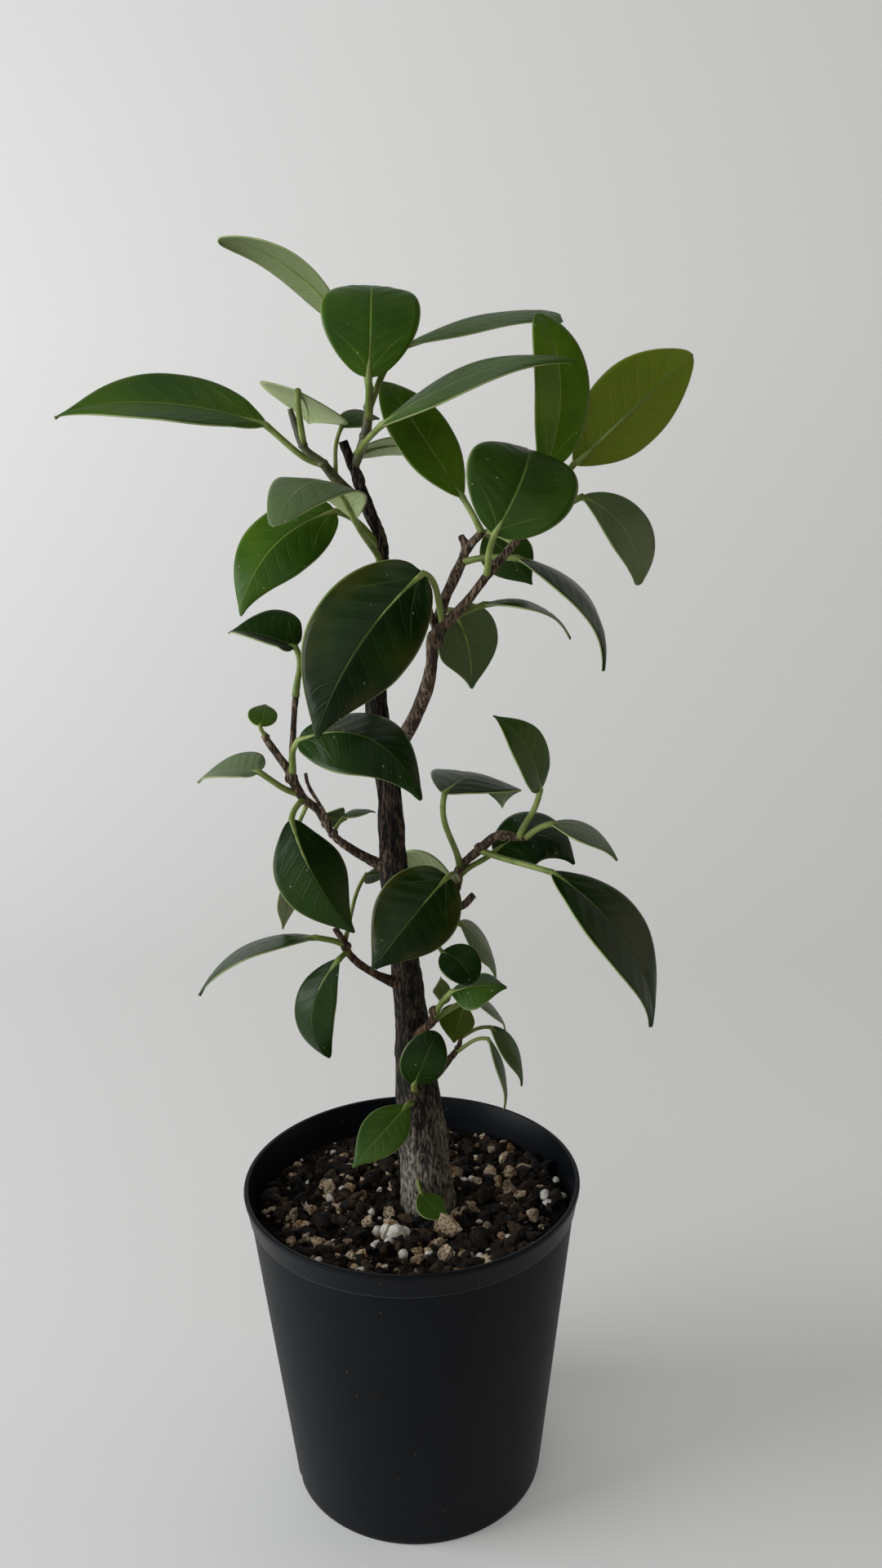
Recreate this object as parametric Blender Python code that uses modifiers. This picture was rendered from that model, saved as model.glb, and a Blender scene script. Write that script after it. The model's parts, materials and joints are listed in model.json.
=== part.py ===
"""Potted ficus seedling: a nursery pot, its soil, a woody trunk with eight stems, and forty-nine leaves.

Every size below is in millimetres and becomes metres by MM. The pot's axis is the Z axis, the pot
stands on Z = 0, and the side that the plant shows best faces -Y.
"""
import math
from collections import namedtuple

import bmesh
import bpy
from mathutils import Vector

MM = 0.001
GAP = 0.3

# Pot: an injection-moulded nursery pot with a plain rim band and two notched drain slots
POT_MOUTH_RADIUS = 45.0
POT_HEIGHT = 88.7
POT_BASE_RADIUS = 34.2
POT_WALL = 1.3
POT_FLOOR = 1.6
BAND_HEIGHT = 6.7
BAND_STEP = 0.45
BAND_RADIUS = 43.9
BASE_EDGE = 0.8
RIM_EDGE = 0.4
SLOT_COUNT = 2
SLOT_WIDTH = 4.0
SLOT_HEIGHT = 4.8
SLOT_DEPTH = 7.0
SLOT_TURN = math.radians(18)
POT_SEGMENTS = 48

# Soil: peat filled to about 8 mm below the mouth, a little higher round the trunk
SOIL_EDGE_HEIGHT = 80.0
SOIL_MIDDLE_HEIGHT = 81.0

# Stems: each is a list of runs, and a run is a list of (x, y, z, diameter) from its foot to its end
TRUNK = [[
    (5.2, 0, 58, 8), (4.8, 0, 68, 13), (4.4, 0, 79, 14.8), (4, 0, 86, 14), (3.2, 0.5, 98, 13.4),
    (2, 1, 112, 12), (0.9, 2, 131, 9), (0, 2, 144.5, 7.9), (-1.5, 2, 163, 7.2), (-3, 2, 178, 7),
    (-3.5, 3, 197, 6.2), (-6, 4, 218, 5.6), (-5.5, 5, 234, 4.6), (-3.5, 6, 250, 3.8), (-4, 6, 258, 3.2),
    (-6.5, 5.5, 265, 3), (-9, 5, 273, 2.8), (-10.5, 5, 277, 2.8), (-12, 5, 281, 2.4),
]]
UPPER_RIGHT_STEM = [
    [(-3.7, 2, 203, 4), (2, -2, 212.5, 3.6), (6.3, -6, 222.5, 3.4), (8, -8, 230, 3), (9, -9, 236.5, 3.2),
     (16, -13, 244.5, 2.2), (21.5, -14, 251.5, 2), (27.5, -12, 258, 2), (31.5, -10, 261, 2.2),
     (33.5, -8, 262, 1.6)],
    [(8.6, -8.4, 234, 2.4), (10.5, -6, 242.5, 2.8), (16.3, 1, 254.5, 2.4), (15.5, 3, 258.5, 1.6)],
    [(15.6, 0.4, 253, 2), (18, 0, 257, 2), (20.3, -2, 259.5, 1.6)],
]
LEFT_STEM = [
    [(-4, 1.5, 175.5, 3.2), (-8, 0.5, 178, 2.8), (-13, -2, 182, 2.2), (-17.3, -4, 186.5, 2),
     (-20.5, -5, 193, 2), (-24, -6, 196.5, 2.2), (-26.5, -7, 202, 2.4), (-27.5, -7, 204.5, 2),
     (-31.8, -9, 212, 1.8), (-32.2, -10, 214, 1.2)],
    [(-26.4, -7, 201.5, 1.8), (-26.2, -6, 207.5, 1.8), (-25.5, -4, 217.5, 1.6), (-24.5, -3, 225, 1.6)],
    [(-18, -4.6, 189, 1), (-19.4, -6, 193.5, 1), (-22.3, -8.2, 200, 0.9), (-23, -8.4, 203.5, 0.8)],
]
LOWER_LEFT_STEM = [[
    (0, 1, 142.5, 3.4), (-3.5, 0, 145, 3), (-7.7, -3, 148.5, 2.2), (-12, -5, 152.5, 2), (-14.5, -6, 156, 2),
    (-15.3, -6, 158.5, 2), (-17.6, -6, 162.5, 1.6),
]]
RIGHT_STEM = [
    [(-1.2, 3, 155.5, 3.6), (7, 6, 161.5, 3.2), (12.6, 7, 167.5, 3), (14.3, 7, 173.5, 2.6),
     (19.2, 5, 179, 2.4), (23.7, 3, 183.2, 2.4), (28.2, 2, 183.2, 2.2), (31.2, 1, 183.4, 1.8)],
    [(8, 6.2, 162.2, 2), (14.2, 8.5, 162.3, 2.2), (17.7, 8.5, 165.5, 2)],
]
LOW_SHOOT = [[(1.4, 1, 127.5, 2.6), (3.3, -4, 133, 2.2), (6.3, -6, 136.5, 2.4), (7, -6, 140.5, 1.8)]]
LOW_TWIG = [[
    (3.5, 1, 114, 2.4), (8, 1, 119, 2.2), (10.7, 0, 123, 1.8), (12.9, 0, 126, 1.6), (13.8, 0, 129.5, 1.2),
]]
TOP_LEFT_TWIG = [[
    (-6.8, 5.4, 265.5, 2.4), (-12.8, 3, 271, 2.6), (-16.7, 1, 276, 2.2), (-20.7, 0, 279.5, 1.8),
    (-22.7, 0, 285, 1.6), (-23.7, 0, 288.5, 1.2),
]]
TOP_SHOOT = [[
    (-9.6, 5, 275, 2.2), (-8, 4, 278.5, 2.4), (-6.7, 3, 281.5, 2.6), (-6, 2, 285, 2.4), (-5.3, 0, 290, 2),
    (-5.1, -2, 294, 1.6),
]]
STEM_RUN_STEPS = 3
TRUNK_ROUNDNESS = 4
STEM_ROUNDNESS = 2

# Leaves: a leaf springs from its stem at root, its blade runs from base to tip, and its upper side
# faces (turn, lift): degrees from -Y towards +X, and up. Its midrib bows out of the blade and sweeps
# sideways by so many millimetres, and each half rises from flat by the fold's degrees. The skew makes the
# right half wider than the left, the sag lets the stalk hang, and the curl turns the tip down.
LEAF_FIELDS = "root base tip width faces bow sweep fold outline finish skew sag curl"
Leaf = namedtuple("Leaf", LEAF_FIELDS, defaults=(0, 0, 0.04))

# Outlines: the place of the widest point, how quickly the blade narrows from it, how far the tip is drawn
# in, and how far the base is drawn in to a wedge
Outline = namedtuple("Outline", "belly fullness drip wedge")
EGG = Outline(0.42, 1.2, 0.62, 0.45)
OVAL = Outline(0.5, 1.05, 0.25, 0.5)
HEART = Outline(0.4, 1.05, 0.62, 0.12)
LANCE = Outline(0.42, 1.35, 0.68, 0.4)
ROUND = Outline(0.5, 0.95, 0.1, 0.15)
PADDLE = Outline(0.6, 1.15, 0.6, 0.3)
DROP = Outline(0.34, 1.1, 0.6, 0.1)
SPOON = Outline(0.72, 0.9, 0.1, 0.3)
BLADE_PLACES = (0, 0.07, 0.17, 0.3, 0.43, 0.58, 0.73, 0.86, 0.94, 1)
GROWN = "grown_leaf"
YOUNG = "young_leaf"
BLADE_RIB = 0.34
BLADE_EDGE = 0.16
STALK_RADIUS = 0.75
SMALL_STALK_RADIUS = 0.5
SMALL_LEAF_WIDTH = 11
STALK_STEPS = 4
STALK_BEND = 0.35
STALK_LIFT = 0.06

LEAVES = {
    "top_shoot": [
        Leaf((-5.1, -0.5, 292.5), (-9, 12, 304.5), (-39.5, 13, 328), 20, (120, 50), 4, 0.3, 0, OVAL, YOUNG),
        Leaf((-5.7, 1.5, 286), (-5, -5, 295), (-4.5, 10, 316.5), 22.5, (5, 35), 7, 0, 0, ROUND, YOUNG),
        Leaf((-5.5, 1, 288.5), (3, 8, 302.2), (40.3, 18, 310.2), 14, (-30, 68), 1, -1, 0, SPOON, GROWN),
        Leaf((-8.5, 4, 278), (-2.5, -4, 284.5), (40.5, -15, 299.3), 16, (-50, 60), 3.4, 0, 0, EGG, GROWN),
    ],
    "upper_right_stem": [
        Leaf((30.5, -9.6, 260.6), (35, -4, 274), (35, 6, 309.5), 16, (35, 15), 3, 2.5, 8, ROUND, YOUNG),
        Leaf((33.3, -7, 262), (42.7, 6.5, 274.6), (70.2, 10.5, 299.2), 21.5, (-160, 10),
             -0.5, 0.2, 5, OVAL, YOUNG, 0.06),
        Leaf((20.3, -2, 259.5), (16, 4, 267.5), (-2, 12, 295), 17, (30, 35), 0.5, -0.5, 5, OVAL, YOUNG),
        Leaf((21, -14, 251), (22.5, -22, 261), (31, -8, 279.5), 25.5, (12, 30), 5.5, 1, 5, ROUND, YOUNG),
        Leaf((32.4, -10, 261.3), (43, -10, 268), (56.5, -12, 248), 16.5, (40, 30),
             2.5, -3, 0, PADDLE, GROWN, -0.2, 1.5),
        Leaf((27.5, -12, 258), (21.5, 2, 259), (32.5, 6, 246), 13, (-10, -20), -1, 0, 0, EGG, GROWN),
        Leaf((15.5, 0, 252.5), (28.5, -7, 254), (49.5, -12, 228), 18, (75, 40), 6.2, -1, -5, LANCE, GROWN),
        Leaf((13, -11.5, 241), (20.5, -8, 243.5), (41.5, -8, 235.5), 18, (95, 70), 3.8, 0, 0, LANCE, GROWN),
        Leaf((9.3, -8, 237.5), (13, 4, 240.5), (17.3, 8, 220.5), 17, (-150, 5), 0, 2, -5, HEART, GROWN),
        Leaf((11, -10, 239), (6.5, -16, 252), (-19, -24, 215.5), 25, (0, 15), 3, 3, -15, HEART, GROWN, 0.07),
    ],
    "top_left_twig": [
        Leaf((-16.7, 1, 276), (-29.5, 0, 285), (-78, -2, 289), 21, (10, 60), 2, 3, 12, EGG, GROWN, 0, 2.5),
        Leaf((-21, 0, 280), (-21.5, -2, 292.3), (-20.5, 14, 285.5), 23, (145, 40), 1, 0, 0, EGG, YOUNG),
        Leaf((-14, 2, 272.5), (-12.5, 8, 284), (-3.5, 12, 286), 9, (5, 65), 1, -1, 0, EGG, YOUNG),
    ],
    "trunk": [
        Leaf((-9.6, 5, 274.5), (-9.5, 12, 277.5), (10, 16, 276.5), 14, (-180, 70), 2.5, 0.5, 0, HEART, GROWN),
        Leaf((-3.7, 6, 252), (-9.5, -4, 263.5), (-26, -30, 265), 20, (60, 82), 9, -0.5, -3, OVAL, GROWN),
        Leaf((-4, 6, 256), (-14, 0, 265), (-36.5, -12, 242.5), 18, (-5, 35), 4, 3.5, -10, HEART, GROWN),
        Leaf((2.4, 0, 113), (1.5, -12, 122), (7.5, -12, 136.5), 11.5, (0, 0), 2, -0.5, 0, ROUND, GROWN),
        Leaf((0.8, 0, 108.5), (-0.5, -11, 115.5), (-14.5, -22, 104.5), 11.5, (0, 45), 2.5, -0.5, 0, EGG, GROWN),
        Leaf((1.5, -5, 91.5), (2.5, -9, 89), (10, -14, 85), 8, (10, 70), -0.5, 1, 5, EGG, GROWN),
    ],
    "left_stem": [
        Leaf((-25, -3.5, 221.5), (-24.5, -4, 233.5), (-41.5, 3, 236.8), 14, (0, 70),
             1, 0, 24, DROP, GROWN, 0.15),
        Leaf((-26.5, -7, 203), (-24, -12, 212.5), (5.5, -26, 201.5), 20, (5, 55), 7, -4, -15, HEART, GROWN),
        Leaf((-32, -9.6, 213), (-33, -11, 216), (-32.5, -2, 219.5), 7, (25, 65), 0.5, 0, 0, HEART, YOUNG),
        Leaf((-25.3, -6.2, 198), (-34, -10, 204.5), (-51, 0, 200), 13, (0, 75),
             1.5, 0, 10, DROP, GROWN, 0.2, 1.5),
        Leaf((-24, -6, 196.5), (-26.5, -12, 193), (-11.5, -20, 166.5), 17, (10, 20),
             2.5, 2.3, -25, EGG, GROWN),
        Leaf((-20.5, -5, 193), (-19.5, 2, 190), (-14.5, 6, 187.5), 8, (-155, 35), 0, -0.5, 0, EGG, GROWN),
        Leaf((-17.3, -4, 186.5), (-15, 0, 189.5), (-7, 4, 190), 6, (-95, 85), 1, 0, -5, LANCE, GROWN),
        Leaf((-23, -5.8, 195.5), (-30, 4, 174), (-32.5, 5, 158.5), 10, (-120, 10),
             -0.5, 0.5, -5, LANCE, GROWN),
    ],
    "lower_left_stem": [
        Leaf((-15.2, -6, 158), (-22.5, -7, 160.5), (-53, -10, 147.5), 15, (-100, 65), 4.2, 0, 0, EGG, GROWN),
        Leaf((-14.6, -6, 156), (-16.5, -10.5, 156), (-20.5, -11, 128.5), 12, (-30, 5),
             5, 3, -10, OVAL, GROWN),
        Leaf((-15.3, -6, 158.5), (-10, 6, 172.5), (-3, 12, 172), 8, (-140, 35), 0.5, -1, 0, EGG, GROWN),
    ],
    "right_stem": [
        Leaf((13.5, 7, 170), (11, -4, 175), (-8.7, -12, 153), 21, (0, 20), 3, 0.5, -15, DROP, GROWN),
        Leaf((12.6, 7, 167.5), (12, 13, 167.5), (-5, 18, 169), 19, (160, 35), 2, -1.5, -5, EGG, GROWN),
        Leaf((29.2, 1.7, 183.2), (34, -4, 197), (23, -4, 216.5), 15, (55, 20), 3, 0, 5, HEART, GROWN, 0.05),
        Leaf((14.3, 7, 173.5), (10.5, -2, 196), (26.5, 24, 185.5), 24, (0, 80), 6.5, 0, -5, EGG, GROWN),
        Leaf((14.6, 7.2, 172), (23, 7, 177.5), (44, 6, 174.5), 21, (20, 65), 4.5, -4, -5, EGG, GROWN),
        Leaf((31, 1, 183.4), (37, -3, 188), (53.5, -6, 179.5), 17, (85, 65), 2, -0.5, 0, EGG, GROWN),
        Leaf((19, 5, 179), (36.7, -8, 177), (62.5, -16, 138.5), 23, (55, 35), 6.5, 0, 5, EGG, GROWN, 0, 1.5),
        Leaf((12, 7.8, 162), (14, 10, 157), (24, 11, 141), 14, (80, 30), 1.5, -1.5, -5, EGG, GROWN),
        Leaf((6, 5.6, 160.8), (9.3, -7, 156), (16.8, -13, 150), 10.5, (20, 30), 2, -0.5, 5, ROUND, YOUNG),
    ],
    "low_shoot": [
        Leaf((6.3, -6, 136.5), (11.5, -9, 146), (25, -14, 149.5), 12, (-50, 60), 1, 0, -15, EGG, YOUNG),
        Leaf((5.4, -5.4, 135.5), (15, 0, 138.5), (12, -4, 129.5), 11, (30, 10), 0, 0.5, -10, EGG, YOUNG),
        Leaf((3.3, -4, 133), (18, 5, 136.5), (26, 6, 128), 11, (100, 45), 1.5, -0.5, 0, LANCE, GROWN),
        Leaf((7, -6, 140.2), (9, 0.5, 138.5), (8.5, 4, 144.5), 6, (-135, -25), 1, -1, 0, EGG, YOUNG),
    ],
    "low_twig": [
        Leaf((12.8, -0.3, 125.4), (20.8, -2.5, 129.7), (25.3, -6, 111), 8, (80, 10),
             1.5, -0.5, -5, LANCE, GROWN),
        Leaf((13.7, 0.4, 129), (21.6, 3.2, 130.3), (30.6, 5.5, 111.8), 8, (65, 20), 1.5, -1, -5, LANCE, GROWN),
    ],
}

COLOURS = {
    "pot_plastic": ((0.012, 0.014, 0.017), 0.35),
    "peat_soil": ((0.03, 0.02, 0.014), 0.9),
    "bark": ((0.075, 0.05, 0.038), 0.8),
    GROWN: ((0.03, 0.085, 0.02), 0.3),
    YOUNG: ((0.09, 0.2, 0.03), 0.35),
}


def empty_scene():
    for old in list(bpy.data.objects):
        bpy.data.objects.remove(old, do_unlink=True)


def collection(name):
    made = bpy.data.collections.new(name)
    bpy.context.scene.collection.children.link(made)
    return made


def material(name):
    colour, roughness = COLOURS[name]
    made = bpy.data.materials.new(name)
    made.use_nodes = True
    shader = made.node_tree.nodes["Principled BSDF"]
    shader.inputs["Base Color"].default_value = (*colour, 1)
    shader.inputs["Roughness"].default_value = roughness
    return made


def add_object(name, data, home, finish=None):
    made = bpy.data.objects.new(name, data)
    home.objects.link(made)
    if finish:
        data.materials.append(finish)
    return made


def evaluated_mesh(source):
    """The object's mesh as its modifiers leave it, with the loose caps of a curve welded on."""
    bpy.context.view_layer.update()
    mesh = bpy.data.meshes.new_from_object(source.evaluated_get(bpy.context.evaluated_depsgraph_get()))
    shape = bmesh.new()
    shape.from_mesh(mesh)
    bmesh.ops.remove_doubles(shape, verts=shape.verts, dist=0.001 * MM)
    shape.to_mesh(mesh)
    shape.free()
    return mesh


def settled(source):
    """Replaces an object by one that holds its evaluated mesh, and returns it."""
    mesh = evaluated_mesh(source)
    home = source.users_collection[0]
    name = source.name
    bpy.data.objects.remove(source, do_unlink=True)
    return add_object(name, mesh, home)


def combine(target, other, operation):
    """Adds a Boolean to the target and settles it."""
    cut = target.modifiers.new(operation.title(), "BOOLEAN")
    cut.operation = operation
    cut.object = other
    return settled(target)


def hide_cutter(cutter):
    cutter.hide_render = True
    cutter.display_type = "WIRE"


def eased(before, start, end, after, t):
    """A point on the Catmull-Rom curve from start to end."""
    slope_in = (end - before) / 2
    slope_out = (after - start) / 2
    rise = t * t * (3 - 2 * t)
    return (start * (1 - rise) + end * rise
            + slope_in * (t * t * t - 2 * t * t + t) + slope_out * (t * t * t - t * t))


def smooth_run(run, steps):
    """The points of a run with steps between each two, on one smooth curve."""
    knots = [Vector(knot) for knot in run]
    knots = [2 * knots[0] - knots[1]] + knots + [2 * knots[-1] - knots[-2]]
    points = []
    for i in range(1, len(knots) - 2):
        points += [eased(*knots[i - 1:i + 3], step / steps) for step in range(steps)]
    return points + [knots[-2]]


def tube(name, run, roundness, extra, home):
    """A closed tapering tube along a run, fatter all round by extra millimetres."""
    points = smooth_run(run, STEM_RUN_STEPS)
    if extra:
        points[0].xyz += (points[0].xyz - points[1].xyz).normalized() * extra
        points[-1].xyz += (points[-1].xyz - points[-2].xyz).normalized() * extra
    curve = bpy.data.curves.new(name, "CURVE")
    curve.dimensions = "3D"
    curve.bevel_depth = MM
    curve.bevel_resolution = roundness
    curve.use_fill_caps = True
    line = curve.splines.new("POLY")
    line.points.add(len(points) - 1)
    for place, point in zip(line.points, points):
        place.co = (*(point.xyz * MM), 1)
        place.radius = point.w / 2 + extra
    return settled(add_object(name, curve, home))


def stem(name, runs, roundness, extra, home):
    """One woody piece: its runs as tubes, joined."""
    whole = tube(name, runs[0], roundness, extra, home)
    for number, run in enumerate(runs[1:], 1):
        side = tube(f"{name}_run_{number}", run, roundness, extra, home)
        whole = combine(whole, side, "UNION")
        bpy.data.objects.remove(side, do_unlink=True)
    return whole


def make_pot(home, cutters):
    taper = (BAND_RADIUS - BAND_STEP - POT_BASE_RADIUS) / (POT_HEIGHT - BAND_HEIGHT)
    inner_base = POT_BASE_RADIUS + taper * POT_FLOOR - POT_WALL
    profile = [
        (0, POT_FLOOR),
        (inner_base, POT_FLOOR),
        (BAND_RADIUS - BAND_STEP - POT_WALL, POT_HEIGHT - BAND_HEIGHT),
        (POT_MOUTH_RADIUS - POT_WALL - RIM_EDGE, POT_HEIGHT - RIM_EDGE),
        (POT_MOUTH_RADIUS - POT_WALL, POT_HEIGHT),
        (POT_MOUTH_RADIUS - RIM_EDGE, POT_HEIGHT),
        (POT_MOUTH_RADIUS, POT_HEIGHT - RIM_EDGE),
        (POT_MOUTH_RADIUS - RIM_EDGE / 2, POT_HEIGHT - 4 * RIM_EDGE),
        (BAND_RADIUS, POT_HEIGHT - BAND_HEIGHT + BAND_STEP),
        (BAND_RADIUS - BAND_STEP, POT_HEIGHT - BAND_HEIGHT),
        (POT_BASE_RADIUS + taper * BASE_EDGE, BASE_EDGE),
        (POT_BASE_RADIUS - BASE_EDGE, 0),
        (0, 0),
    ]
    pot = turned("pot", profile, home)
    for number in range(SLOT_COUNT):
        angle = SLOT_TURN + 2 * math.pi * number / SLOT_COUNT
        bpy.ops.mesh.primitive_cube_add(size=1)
        slot = bpy.context.object
        slot.name = f"drain_slot_{number + 1}"
        slot.scale = (SLOT_DEPTH * MM, SLOT_WIDTH * MM, 2 * SLOT_HEIGHT * MM)
        slot.rotation_euler.z = angle
        slot.location = Vector((math.cos(angle), math.sin(angle), 0)) * POT_BASE_RADIUS * MM
        for old_home in list(slot.users_collection):
            old_home.objects.unlink(slot)
        cutters.objects.link(slot)
        hide_cutter(slot)
        pot = combine(pot, slot, "DIFFERENCE")
    pot.data.materials.append(material("pot_plastic"))
    return pot


def turned(name, profile, home):
    """A solid of revolution about the Z axis: the profile runs down its outer side."""
    mesh = bpy.data.meshes.new(name)
    shape = bmesh.new()
    corners = [shape.verts.new((radius * MM, 0, height * MM)) for radius, height in profile]
    for start, end in zip(corners, corners[1:]):
        shape.edges.new((start, end))
    shape.to_mesh(mesh)
    shape.free()
    made = add_object(name, mesh, home)
    spin = made.modifiers.new("Turn", "SCREW")
    spin.steps = spin.render_steps = POT_SEGMENTS
    spin.use_merge_vertices = True
    spin.merge_threshold = 0.01 * MM
    return settled(made)


def make_soil(home, trunk_cutter):
    taper = (BAND_RADIUS - BAND_STEP - POT_BASE_RADIUS) / (POT_HEIGHT - BAND_HEIGHT)
    wall = POT_BASE_RADIUS - POT_WALL - GAP
    profile = [
        (0, SOIL_MIDDLE_HEIGHT),
        (wall * 0.6, SOIL_MIDDLE_HEIGHT),
        (wall + taper * SOIL_EDGE_HEIGHT, SOIL_EDGE_HEIGHT),
        (wall + taper * (POT_FLOOR + GAP), POT_FLOOR + GAP),
        (0, POT_FLOOR + GAP),
    ]
    soil = combine(turned("soil", profile, home), trunk_cutter, "DIFFERENCE")
    soil.data.materials.append(material("peat_soil"))
    return soil


def facing(leaf):
    """The direction that the leaf's upper side faces."""
    turn, lift = (math.radians(angle) for angle in leaf.faces)
    return Vector((math.sin(turn) * math.cos(lift), -math.cos(turn) * math.cos(lift), math.sin(lift)))


def midrib(leaf, u):
    """The midrib's place at u, 0 at the base and 1 at the tip, with its run, side and upper directions."""
    base, tip = Vector(leaf.base), Vector(leaf.tip)
    chord = tip - base
    upper = facing(leaf)
    upper = (upper - chord * (upper.dot(chord) / chord.length_squared)).normalized()
    side = chord.cross(upper).normalized()
    belly = upper * leaf.bow + side * leaf.sweep
    place = base + chord * u + belly * (4 * u * (1 - u))
    run = (chord + belly * (4 - 8 * u)).normalized()
    upper = (upper - run * upper.dot(run)).normalized()
    return place, run, run.cross(upper), upper


def stalk_point(leaf, t):
    """The stalk's axis from the root at 0 to the blade's base at 1, with its direction."""
    root, base = Vector(leaf.root), Vector(leaf.base)
    reach = (base - root).length
    _, run, _, _ = midrib(leaf, 0)
    lift = Vector((0, 0, STALK_LIFT * reach - 1.4 * leaf.sag))
    hook = (root - base - run * reach * 0.8) * 0.28
    bends = [root, root + (base - root) * STALK_BEND + lift, base + hook - Vector((0, 0, leaf.sag)), base]
    weights = [(1 - t) ** 3, 3 * t * (1 - t) ** 2, 3 * t * t * (1 - t), t ** 3]
    slopes = [-3 * (1 - t) ** 2, 3 * (1 - t) * (1 - 3 * t), 3 * t * (2 - 3 * t), 3 * t * t]
    place = sum((bend * weight for bend, weight in zip(bends, weights)), Vector())
    run = sum((bend * slope for bend, slope in zip(bends, slopes)), Vector()).normalized()
    return place, run


def stalk_ring(leaf, t, radius):
    place, run = stalk_point(leaf, t)
    _, _, side, _ = midrib(leaf, 0)
    side = (side - run * side.dot(run)).normalized()
    upper = side.cross(run)
    corners = [math.radians(30 + 60 * corner) for corner in range(6)]
    return [place + (side * math.cos(a) + upper * math.sin(a)) * radius for a in corners]


def half_width(leaf, u):
    """The blade's half width at u: fullest at the belly, a wedge at the base, drawn in to the tip."""
    outline = leaf.outline
    if u >= 1:
        return 0.2
    u = max(u, 0.004)
    swell = (u / outline.belly) ** outline.belly * ((1 - u) / (1 - outline.belly)) ** (1 - outline.belly)
    point = 1 - outline.drip * min(max((u - 0.5) / 0.45, 0), 1) ** 2
    base = 1 - outline.wedge * max(1 - u / 0.4, 0) ** 2
    return max(leaf.width / 2 * swell ** outline.fullness * point * base, 0.2)


def blade_ring(leaf, u, radius):
    """Six corners round the blade: two edges, the groove above the midrib, two edges below, the rib."""
    length = (Vector(leaf.tip) - Vector(leaf.base)).length
    place, _, side, upper = midrib(leaf, u)
    place -= upper * (leaf.curl * length * max(u - 0.72, 0) ** 2 / 0.08)
    half = half_width(leaf, u)
    rise = upper * (half * math.tan(math.radians(leaf.fold)) * min(1, u * 8))
    rib = radius + (BLADE_RIB - radius) * min(1, u * 5) if u < 1 else BLADE_EDGE
    right = place + side * half * (1 + leaf.skew) + rise * (1 + leaf.skew)
    left = place - side * half * (1 - leaf.skew) + rise * (1 - leaf.skew)
    edge = upper * BLADE_EDGE
    return [right + edge, place + upper * rib, left + edge, left - edge, place - upper * rib, right - edge]


def leaf_rings(leaf):
    radius = SMALL_STALK_RADIUS if leaf.width < SMALL_LEAF_WIDTH else STALK_RADIUS
    rings = [stalk_ring(leaf, step / STALK_STEPS, radius) for step in range(STALK_STEPS)]
    return rings + [blade_ring(leaf, u, radius) for u in BLADE_PLACES]


def make_leaf(name, leaf, home, cutters, finish):
    """A leaf in one piece: a round stalk that widens into a thin blade, lofted ring by ring."""
    mesh = bpy.data.meshes.new(name)
    shape = bmesh.new()
    rings = [[shape.verts.new(corner * MM) for corner in ring] for ring in leaf_rings(leaf)]
    shape.faces.new(rings[0])
    shape.faces.new(reversed(rings[-1]))
    for near, far in zip(rings, rings[1:]):
        for corner in range(len(near)):
            following = (corner + 1) % len(near)
            shape.faces.new((near[following], near[corner], far[corner], far[following]))
    bmesh.ops.triangulate(shape, faces=shape.faces)
    bmesh.ops.recalc_face_normals(shape, faces=shape.faces)
    shape.to_mesh(mesh)
    shape.free()
    made = add_object(name, mesh, home)
    for cutter in cutters:
        made = combine(made, cutter, "DIFFERENCE")
    made.data.materials.append(finish)
    return made


def build():
    empty_scene()
    plant = collection("potted_ficus_seedling")
    cutters = collection("cutters")
    bark = material("bark")
    leaf_finish = {GROWN: material(GROWN), YOUNG: material(YOUNG)}

    trunk = stem("trunk", TRUNK, TRUNK_ROUNDNESS, 0, plant)
    trunk.data.materials.append(bark)
    trunk_cutter = stem("trunk_clearance", TRUNK, TRUNK_ROUNDNESS, GAP, cutters)
    hide_cutter(trunk_cutter)
    clearance = {"trunk": trunk_cutter}
    side_stems = {
        "upper_right_stem": UPPER_RIGHT_STEM,
        "left_stem": LEFT_STEM,
        "lower_left_stem": LOWER_LEFT_STEM,
        "right_stem": RIGHT_STEM,
        "low_shoot": LOW_SHOOT,
        "low_twig": LOW_TWIG,
        "top_left_twig": TOP_LEFT_TWIG,
        "top_shoot": TOP_SHOOT,
    }
    for name, runs in side_stems.items():
        side = combine(stem(name, runs, STEM_ROUNDNESS, 0, plant), trunk_cutter, "DIFFERENCE")
        side.data.materials.append(bark)
        clearance[name] = stem(f"{name}_clearance", runs, STEM_ROUNDNESS, GAP, cutters)
        hide_cutter(clearance[name])

    make_pot(plant, cutters)
    make_soil(plant, trunk_cutter)
    for name, leaves in LEAVES.items():
        for number, leaf in enumerate(leaves, 1):
            make_leaf(f"{name}_leaf_{number}", leaf, plant, [clearance[name]], leaf_finish[leaf.finish])
    for piece in plant.objects:
        piece.data.set_sharp_from_angle(angle=math.radians(35))


build()
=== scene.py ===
"""The looks of a young woody ficus that grows in a small black nursery pot.

Lengths are metres, written as millimetres times MM, except that the measures of stems, knobs and leaves are
plain millimetres, which the functions that draw them scale. The pot's axis is the Z axis, the pot stands on
Z = 0, and the plant's best side faces -Y.
"""
import json
import math
import random
from collections import namedtuple

import bpy
from mathutils import Euler, Matrix, Vector, noise


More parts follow.
